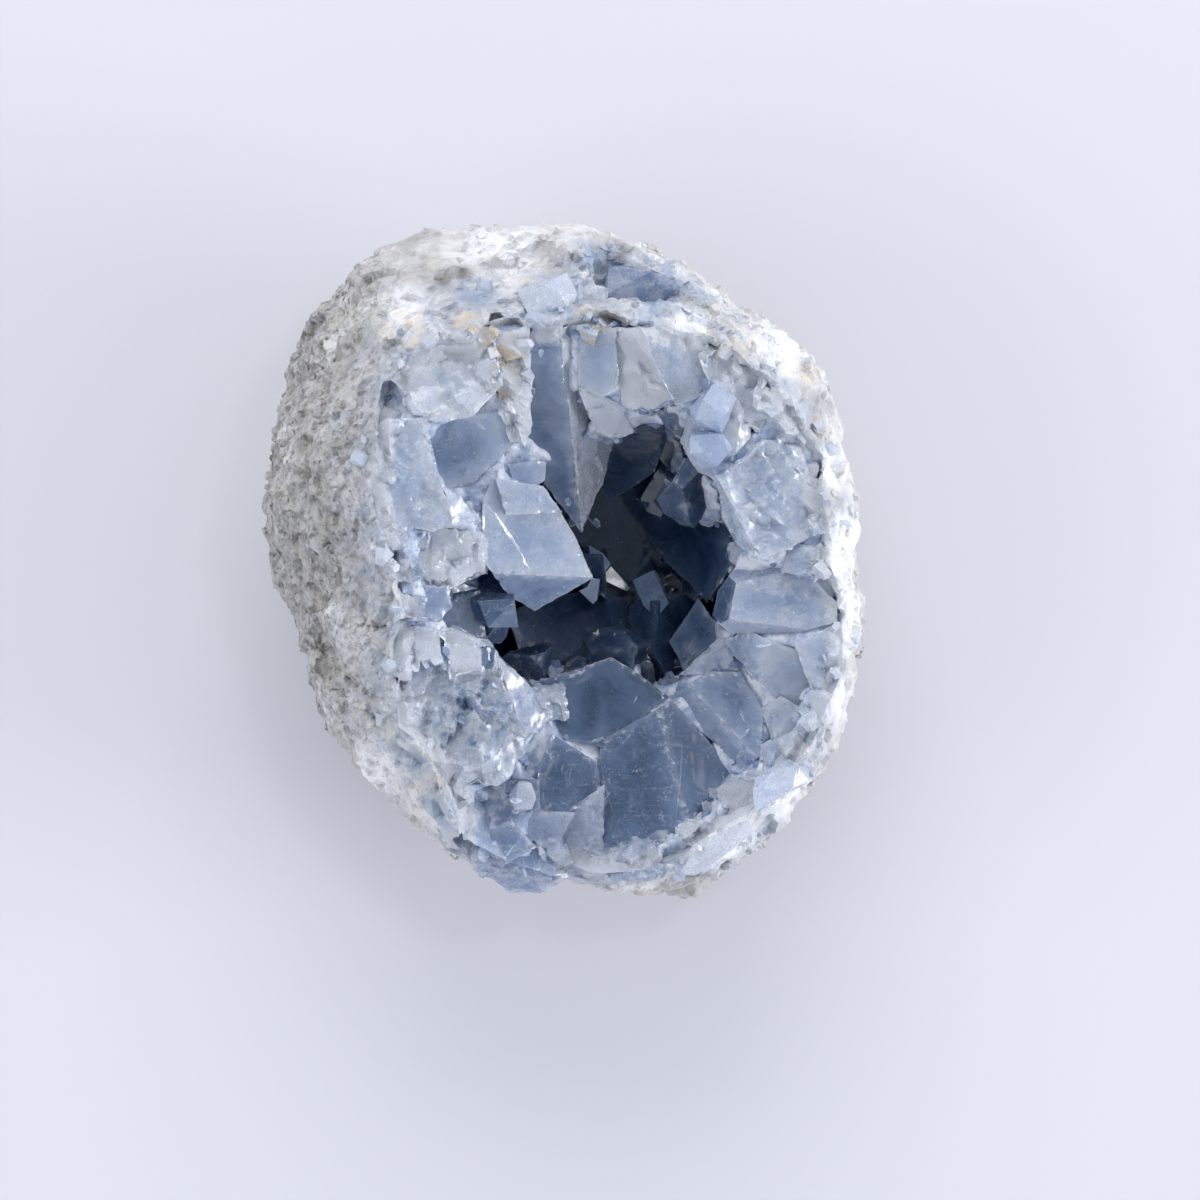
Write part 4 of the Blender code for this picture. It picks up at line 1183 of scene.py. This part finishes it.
@dataclass(frozen=True)
class Ledge:
    """One clean facet seen low in the hollow: its outline in the photograph, the way it faces and its finish."""

    outline: tuple[tuple[float, float], ...]
    facing: Colour
    tone: float
    frost: float = 0.0


LEDGES = {
    # white_glint faces the sparkle lamp and reflects it; its near-white tone adds a painted highlight.
    "white_glint": Ledge(((600, 578), (611, 566), (622, 578), (630, 588), (627, 591), (614, 585)), (0.12, 0.106, 0.987), 0.0),
    "grey_upper": Ledge(((589, 545), (603, 553), (611, 564), (600, 577), (592, 578)), (0.42, 0.1, 0.9), 0.32),
    "grey_lower": Ledge(((579, 591), (587, 587), (592, 578), (600, 579), (597, 600), (593, 604)), (0.1, -0.35, 0.93), 0.28),
    "grey_quad": Ledge(((633, 580), (654, 570), (660, 584), (669, 603), (662, 612), (653, 615), (644, 606)), (-0.1, 0.1, 0.99), 0.56),
    "small_glint": Ledge(((700, 594), (710, 586), (717, 590), (713, 601)), (-0.1, 0.3, 0.95), 0.45),
}


@dataclass
class HollowLedges:
    """The clean facets that catch the light at the bottom of the hollow."""

    rise: float = 1.8
    depth: float = 4.5
    taper: float = 0.9

    def make(self, under: list[BVHTree], material: bpy.types.Material) -> bpy.types.Object:
        """Builds and dresses the ledges.

        Args:
            under: the finished crust and rind that they stand in.
            material: the crystals' finish.

        Returns:
            The piece.
        """
        mesh = bmesh.new()
        owners = []
        for ledge in LEDGES.values():
            facing = Vector(ledge.facing).normalized()
            flat = [Vector((*seen_at(*corner), 0.0)) for corner in ledge.outline]
            middle = sum(flat, Vector()) / len(flat)
            ground = [seen_on(under, *corner)[0].z for corner in ledge.outline]
            middle.z = sum(ground) / len(ground) + self.rise
            tops, feet = [], []
            for corner in flat:
                away = corner - middle
                away.z = -(facing.x * away.x + facing.y * away.y) / facing.z
                tops.append(mesh.verts.new(middle + away))
                feet.append(mesh.verts.new(middle + away * self.taper - Vector((0, 0, self.depth))))
            count = len(mesh.faces)
            mesh.faces.new(tops)
            mesh.faces.new(feet[::-1])
            for number in range(len(tops)):
                after = (number + 1) % len(tops)
                mesh.faces.new((tops[number], feet[number], feet[after], tops[after]))
            owners += [ledge] * (len(mesh.faces) - count)
        bmesh.ops.recalc_face_normals(mesh, faces=mesh.faces)
        piece = finished("hollow_ledges", mesh, material, Slot.CELESTITE)
        carry(piece.data, "tone", [ledge.tone for ledge in owners], "FACE")
        carry(piece.data, "milk", [0.3] * len(owners), "FACE")
        carry(piece.data, "rime", [ledge.frost for ledge in owners], "FACE")
        log.info("%s: %d faces", piece.name, len(piece.data.polygons))
        return piece


@dataclass(frozen=True)
class Chip:
    """A line of chipped edge or of dust: its course in the photograph, its width in millimetres and its finish."""

    course: tuple[tuple[float, float], ...]
    width: float
    finish: str = "celestite"


CHIPS = {
    # slab_streak is a chipped bevel whose white is partly its own frost and partly a painted reflection.
    "slab_streak": Chip(((483, 502), (492, 511), (500, 520), (506, 529), (511, 537), (517, 547), (523, 558), (532, 573)), 1.15),
    "block_line": Chip(((541, 489), (542, 508)), 0.4),
    "block_faint": Chip(((530, 488), (527, 508)), 0.3),
    "blade_ridge": Chip(((577, 452), (575, 466), (576, 480), (575, 494), (574, 508)), 0.75),
    "rib_edge": Chip(((526, 372), (522, 398), (521, 430), (519, 456)), 0.5),
    "blade_crest": Chip(((577, 335), (577, 360), (578, 390)), 0.35),
    "window_edge": Chip(((615, 340), (618, 370), (614, 394)), 0.45),
    "slab_dust": Chip(((546, 497), (555, 508), (562, 520), (572, 533), (580, 542)), 0.35, "dust"),
    "dark_slab_crest": Chip(((536, 684), (570, 670), (612, 658), (636, 672), (662, 692)), 0.35),
    "fan_edge": Chip(((666, 694), (690, 672), (718, 650)), 0.4),
    "fan_dust": Chip(((676, 668), (688, 661), (700, 652), (712, 643)), 0.4, "dust"),
    "crest_dust": Chip(((562, 673), (578, 668), (592, 664)), 0.35, "dust"),
    "great_seam": Chip(((682, 742), (680, 780), (675, 820)), 0.35),
    "great_dust": Chip(((598, 742), (603, 775), (612, 810), (622, 838)), 0.3, "dust"),
}


@dataclass
class EdgeChips:
    """Narrow broken ridges along the crystals' edges, and lines of dust that lie on them."""

    step: float = 0.45
    rise: float = 0.32
    sink: float = 0.2
    wander: float = 0.25

    def course_of(self, chip: Chip) -> list[tuple[float, float]]:
        """The chip's course cut into short steps, in the photograph's columns and rows."""
        places = []
        for start, stop in zip(chip.course, chip.course[1:]):
            count = max(1, round(math.dist(start, stop) * PHOTO_MM / self.step))
            places += [tuple(a + (b - a) * i / count for a, b in zip(start, stop)) for i in range(count)]
        return places + [chip.course[-1]]

    def make(self, name: str, finish: str, under: list[BVHTree], material: bpy.types.Material, slot: Slot) -> bpy.types.Object:
        """Builds and dresses the chips of one finish.

        Args:
            name: the piece's name.
            finish: which chips.
            under: the finished crust and rind that they lie on.
            material: their finish.
            slot: the record's slot for it.

        Returns:
            The piece.
        """
        mesh = bmesh.new()
        for chip in [chip for chip in CHIPS.values() if chip.finish == finish]:
            places = [seen_on(under, *place) for place in self.course_of(chip)]
            rings = []
            for number, (place, normal) in enumerate(places):
                ahead = places[min(number + 1, len(places) - 1)][0] - places[max(number - 1, 0)][0]
                side = ahead.cross(normal).normalized()
                share = math.sin(math.pi * (number + 0.6) / (len(places) + 0.2)) ** 0.5
                width = chip.width / 2 * share * (1 + self.wander * 2 * noise.noise(place * 1.7))
                crest = side * width * noise.noise(place * 0.9 + Vector((4, 2, 9)))
                base = place - normal * self.sink
                corners = (base - side * width, base + side * width, place + crest + normal * self.rise * width)
                rings.append([mesh.verts.new(corner) for corner in corners])
            for first, second in zip(rings, rings[1:]):
                for a, b in ((0, 1), (1, 2), (2, 0)):
                    mesh.faces.new((first[a], first[b], second[b], second[a]))
            mesh.faces.new(rings[0])
            mesh.faces.new(rings[-1][::-1])
        bmesh.ops.recalc_face_normals(mesh, faces=mesh.faces)
        bmesh.ops.triangulate(mesh, faces=mesh.faces)
        piece = finished(name, mesh, material, slot)
        carry(piece.data, "rime", [1.2] * len(piece.data.polygons), "FACE")
        carry(piece.data, "milk", [1.0] * len(piece.data.polygons), "FACE")
        log.info("%s: %d faces", piece.name, len(piece.data.polygons))
        return piece


@dataclass
class DruseBed:
    """The milky mass that fills the clefts between the crystals."""

    pitch: float = 0.5
    cleft: float = 2.6
    drop: float = 1.0
    least: float = 1.3
    thickness: float = 2.2
    lowest: float = 25.0
    voxel: float = 0.42
    bare: tuple[tuple[float, float, float], ...] = (
        (484, 608, 40), (512, 645, 36), (562, 505, 34), (640, 560, 70), (600, 610, 60), (690, 590, 40), (556, 420, 34),
    )

    def heights(self, crust: BVHTree) -> tuple[np.ndarray, np.ndarray]:
        """The crust's height on a grid, and the same with its clefts closed.

        Args:
            crust: the crystals.

        Returns:
            The two height maps, in millimetres, with -99 off the crust.
        """
        columns = np.arange(-29, 43, self.pitch)
        rows = np.arange(-51, 39, self.pitch)
        high = np.full((len(rows), len(columns)), -99.0)
        for r, y in enumerate(rows):
            for c, x in enumerate(columns):
                hit = crust.ray_cast(Vector((x, y, 90)), Vector((0, 0, -1)))[0]
                if hit:
                    high[r, c] = hit.z
        reach = int(round(self.cleft / self.pitch))
        disc = [(i, j) for i in range(-reach, reach + 1) for j in range(-reach, reach + 1) if i * i + j * j <= reach * reach]
        grown = np.max([np.roll(high, way, (0, 1)) for way in disc], axis=0)
        return high, np.min([np.roll(grown, way, (0, 1)) for way in disc], axis=0)

    def make(self, crust: BVHTree, material: bpy.types.Material) -> bpy.types.Object:
        """Builds and dresses the bed.

        Args:
            crust: the crystals.
            material: its finish.

        Returns:
            The piece.
        """
        high, closed = self.heights(crust)
        cleft = (closed - high > self.least) & (high > -90) & (closed > 30)
        y, x = np.meshgrid(np.arange(-51, 39, self.pitch), np.arange(-29, 43, self.pitch), indexing="ij")
        for column, row, reach in self.bare:
            middle = seen_at(column, row)
            cleft &= np.hypot(x - middle[0], y - middle[1]) > reach * PHOTO_MM
        kept = cleft.copy()
        for way in ((0, 1), (1, 0), (0, -1), (-1, 0), (1, 1), (-1, -1), (1, -1), (-1, 1)):
            kept |= np.roll(cleft, way, (0, 1))
        top = np.where(cleft, np.maximum(high, closed - self.drop), high - 0.8)
        top = np.maximum(top, self.lowest)
        rows, columns = np.nonzero(kept)
        z = top[rows, columns]
        low = np.minimum(np.maximum(high[rows, columns] - 0.6, z - 3 * self.thickness), z - self.thickness)
        half = self.pitch * 0.51
        corners = []
        for level in (low, z):
            for dx, dy in ((-half, -half), (half, -half), (half, half), (-half, half)):
                corners.append(np.stack([-29 + columns * self.pitch + dx, -51 + rows * self.pitch + dy, level], 1))
        sides = np.array([(3, 2, 1, 0), (4, 5, 6, 7), (0, 1, 5, 4), (1, 2, 6, 5), (2, 3, 7, 6), (3, 0, 4, 7)])
        faces = (np.arange(len(z))[:, None, None] * 8 + sides[None]).reshape(-1, 4)
        data = bpy.data.meshes.new("bed_source")
        data.from_pydata(np.stack(corners, 1).reshape(-1, 3).tolist(), [], faces.tolist())
        holder = bpy.data.objects.new("bed_source", data)
        bpy.context.scene.collection.objects.link(holder)
        grid = holder.modifiers.new("grid", "REMESH")
        grid.mode, grid.voxel_size, grid.adaptivity = "VOXEL", self.voxel, 0.0
        even = holder.modifiers.new("even", "SMOOTH")
        even.factor, even.iterations = 0.6, 8
        graph = bpy.context.evaluated_depsgraph_get()
        result = bmesh.new()
        result.from_mesh(holder.evaluated_get(graph).data)
        bpy.data.objects.remove(holder)
        result.normal_update()
        for vertex in result.verts:
            distances, centres = noise.voronoi(vertex.co / 1.5)
            lean = noise.cell_vector(centres[0] * 7.3) - Vector((0.5, 0.5, 0.5))
            vertex.co += Vector((0, 0, 1)) * lean.dot(vertex.co / 1.5 - centres[0]) * 0.5
        piece = finished("druse_bed", result, material, Slot.CELESTITE)
        piece.data.set_sharp_from_angle(angle=math.radians(35))
        carry(piece.data, "tone", [0.35] * len(piece.data.vertices))
        return piece


@dataclass
class Studio:
    """The pale floor, the soft lights and the camera over the stone."""

    floor: Colour = (0.665, 0.655, 0.71)
    floor_half: float = 3.0
    eye: tuple[float, float, float] = (0.005517, -0.005629, 1.131)
    lens: float = 220.0
    sky: float = 1.22
    zenith: float = 0.28
    key: float = 13.5

    def floor_piece(self, effects: Effects) -> None:
        """Lays the floor."""
        mesh = bmesh.new()
        bmesh.ops.create_grid(mesh, x_segments=1, y_segments=1, size=self.floor_half)
        data = bpy.data.meshes.new("floor")
        mesh.to_mesh(data)
        mesh.free()
        material, graph, shader = new_material("floor")
        place = graph.millimetres()
        cloud = graph.noise(place, 160.0, detail=2)
        graph.feed(shader.inputs["Base Color"], graph.mix(graph.math("MULTIPLY", cloud, 0.06), self.floor, (0.9, 0.9, 0.9)))
        shader.inputs["Roughness"].default_value = 0.9
        data.materials.append(material)
        floor = bpy.data.objects.new("floor", data)
        bpy.context.scene.collection.objects.link(floor)

    def light(self, name: str, place: Colour, size: float, power: float, colour: Colour) -> None:
        """Hangs one square soft light that looks at the stone.

        Args:
            name: its name.
            place: where it hangs, in metres.
            size: the length of its side.
            power: watts.
            colour: its colour.
        """
        lamp = bpy.data.lights.new(name, "AREA")
        lamp.size, lamp.energy, lamp.color = size, power, colour
        holder = bpy.data.objects.new(name, lamp)
        holder.location = place
        holder.rotation_euler = (Vector(place) - Vector((0, 0, 0.03))).to_track_quat("Z", "Y").to_euler()
        bpy.context.scene.collection.objects.link(holder)

    def world(self) -> None:
        """Makes the sky: pale round the horizon and dimmer overhead."""
        world = bpy.data.worlds.new("studio")
        world.use_nodes = True
        graph = Graph(world.node_tree)
        background = world.node_tree.nodes["Background"]
        way = graph.add("ShaderNodeSeparateXYZ", {0: graph.add("ShaderNodeTexCoord").outputs["Generated"]}).outputs[2]
        level = graph.step(way, 0.45, 0.9)
        tint = graph.mix(level, (0.90, 0.93, 1.0), (0.72 * self.zenith, 0.86 * self.zenith, self.zenith))
        graph.feed(background.inputs["Color"], tint)
        background.inputs["Strength"].default_value = self.sky
        bpy.context.scene.world = world

    def camera(self) -> None:
        """Sets the camera straight over the stone."""
        lens = bpy.data.cameras.new("camera")
        lens.lens, lens.sensor_width, lens.clip_end = self.lens, 36.0, 20.0
        holder = bpy.data.objects.new("camera", lens)
        holder.location = self.eye
        bpy.context.scene.collection.objects.link(holder)
        bpy.context.scene.camera = holder

    def make(self, effects: Effects) -> None:
        """Builds the studio."""
        self.floor_piece(effects)
        self.world()
        self.light("key", (-0.02, 1.36, 0.96), 1.2, self.key, (1.0, 0.995, 0.99))
        self.light("left_fill", (-1.35, -0.36, 0.95), 1.2, self.key * 0.5, (0.99, 0.995, 1.0))
        self.light("sparkle", (0.40, 0.35, 1.60), 0.15, self.key * 0.12, (1.0, 1.0, 1.0))
        self.light("right_fill", (1.54, -0.22, 0.42), 0.7, self.key * 1.15, (0.99, 0.995, 1.0))
        self.camera()
        view = bpy.context.scene.view_settings
        view.view_transform, view.look, view.exposure = "Standard", "None", 0.0


def sprinkles(
    rock: bpy.types.Object, crystals: bpy.types.Object, bed: bpy.types.Object, crust: BVHTree, rind: BVHTree
) -> list[tuple[Sprinkle, bpy.types.Mesh, str]]:
    """What is scattered over the stone.

    Args:
        rock: the finished rind.
        crystals: the finished crust.
        bed: the finished druse bed.
        crust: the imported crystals.
        rind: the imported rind.

    Returns:
        Each maker with the surface that it covers and the name of its finish.
    """
    def surface(piece: bpy.types.Object, name: str, rule: Callable[[Vector], float]) -> bpy.types.Mesh:
        """A copy of a piece's mesh that says, by a rule on millimetres, how thickly small pieces grow."""
        data = piece.data.copy()
        data.name = name
        carry(data, "grow", [rule(vertex.co / MM) for vertex in data.vertices])
        return data

    def on_crust(place: Vector) -> float:
        """Thick along the seam on the crystals' side."""
        gap = rind.find_nearest(place)[3]
        return smooth(gap, 0.5, 0.9) * (1 - smooth(gap, 1.5, 5.0)) * smooth(place.z, 24, 32)

    def on_rock(place: Vector) -> float:
        """Thick along the seam on the rock's side."""
        gap = crust.find_nearest(place)[3]
        return smooth(gap, 0.3, 0.6) * (1 - smooth(gap, 1.0, 6.0)) * smooth(place.z, 26, 34)

    def on_ledges(place: Vector) -> float:
        """Over the whole of the crust, thickest low in the hollow."""
        return 0.3 + 0.7 * (1 - smooth(place.z, 24, 44))

    def on_outside(place: Vector) -> float:
        """In drifts over the outside of the rock."""
        drift = smooth(noise.noise(place / 9.0 + Vector((5, 1, 3))), -0.25, 0.4)
        return smooth(crust.find_nearest(place)[3], 0.8, 2.0) * smooth(place.z, 1.0, 4.0) * drift

    def on_faces(place: Vector) -> float:
        """Over the crystals round the hollow, in drifts."""
        gap = rind.find_nearest(place)[3]
        drift = smooth(noise.noise(place / 6.0), -0.1, 0.4)
        return smooth(gap, 3.0, 5.0) * smooth(place.z, 26, 38) * (0.25 + drift)

    return [
        (
            Sprinkle("seam_crystals", Slot.CELESTITE, 0.03, (0.4, 1.8), height=0.75, tip=0.6, lean=1.2, sink=(0.5, 1.5), seed=5),
            surface(crystals, "a", on_crust), "celestite",
        ),
        (
            Sprinkle("rim_crystals", Slot.CELESTITE, 0.025, (0.4, 1.8), height=0.75, tip=0.6, lean=1.2, sink=(0.6, 1.7), seed=8),
            surface(rock, "b", on_rock), "celestite",
        ),
        (
            Sprinkle("cleft_crystals", Slot.CELESTITE, 0.05, (0.3, 1.2), height=0.6, tip=0.6, lean=0.5, sink=(0.2, 0.6), seed=11),
            surface(bed, "c", lambda p: 1.0), "celestite",
        ),
        (
            Sprinkle("rock_chunks", Slot.ROCK, 0.12, (0.3, 1.2), height=0.4, tip=0.68, lean=0.5, sink=(0.15, 0.6), seed=21),
            surface(rock, "e", on_outside), "rind_rock",
        ),
        (
            Sprinkle("inner_veils", Slot.CELESTITE, 0.14, (0.3, 1.5), height=0.02, sides=7, tip=0.85, lean=0.6, sink=(1.0, 3.4), seed=29),
            surface(crystals, "f", on_faces), "veil",
        ),
        (
            Sprinkle("dust_grains", Slot.ROCK, 0.025, (0.06, 0.16), height=1.0, sides=4, tip=0.4, lean=3.0, sink=(-0.1, 0.0), seed=17),
            surface(crystals, "d", on_ledges), "dust",
        ),
    ]


def all_finishes(effects: Effects) -> dict[str, bpy.types.Material]:
    """Each finish's material, by name."""
    return {
        "rind_rock": RockFinish().material(effects),
        "celestite": CelestiteFinish().material(effects),
        "druse": DruseFinish().material(effects),
        "veil": VeilFinish().material(effects),
        "dust": DustFinish().material(),
    }


def main() -> None:
    """Builds the scene's classes in order."""
    logging.basicConfig(level=logging.INFO, format="%(name)s: %(message)s")
    effects = Effects(grain_group(), veil_group(), crumb_group())
    Studio().make(effects)
    crust_copy, rind_copy = merged_copy("crystal_crust"), merged_copy("rind")
    crust, rind = BVHTree.FromBMesh(crust_copy), BVHTree.FromBMesh(rind_copy)
    crust_copy.free()
    rind_copy.free()
    finishes = all_finishes(effects)
    rock = RockRind().make(crust, finishes["rind_rock"])
    log.info("%s: %d faces", rock.name, len(rock.data.polygons))
    crystals = CrystalCrust().make(rind, finishes["celestite"])
    log.info("%s: %d faces", crystals.name, len(crystals.data.polygons))
    bed = DruseBed().make(crust, finishes["druse"])
    under = [tree_of(crystals), tree_of(rock)]
    PlacedPrisms().make(under, finishes["celestite"])
    HollowLedges().make(under, finishes["celestite"])
    EdgeChips().make("edge_chips", "celestite", under, finishes["celestite"], Slot.CELESTITE)
    EdgeChips().make("dust_lines", "dust", under, finishes["dust"], Slot.ROCK)
    tree = scatter_tree("small_crystals")
    for maker, surface, finish in sprinkles(rock, crystals, bed, crust, rind):
        maker.make(tree, surface, finishes[finish])


if __name__ == "__main__":
    main()
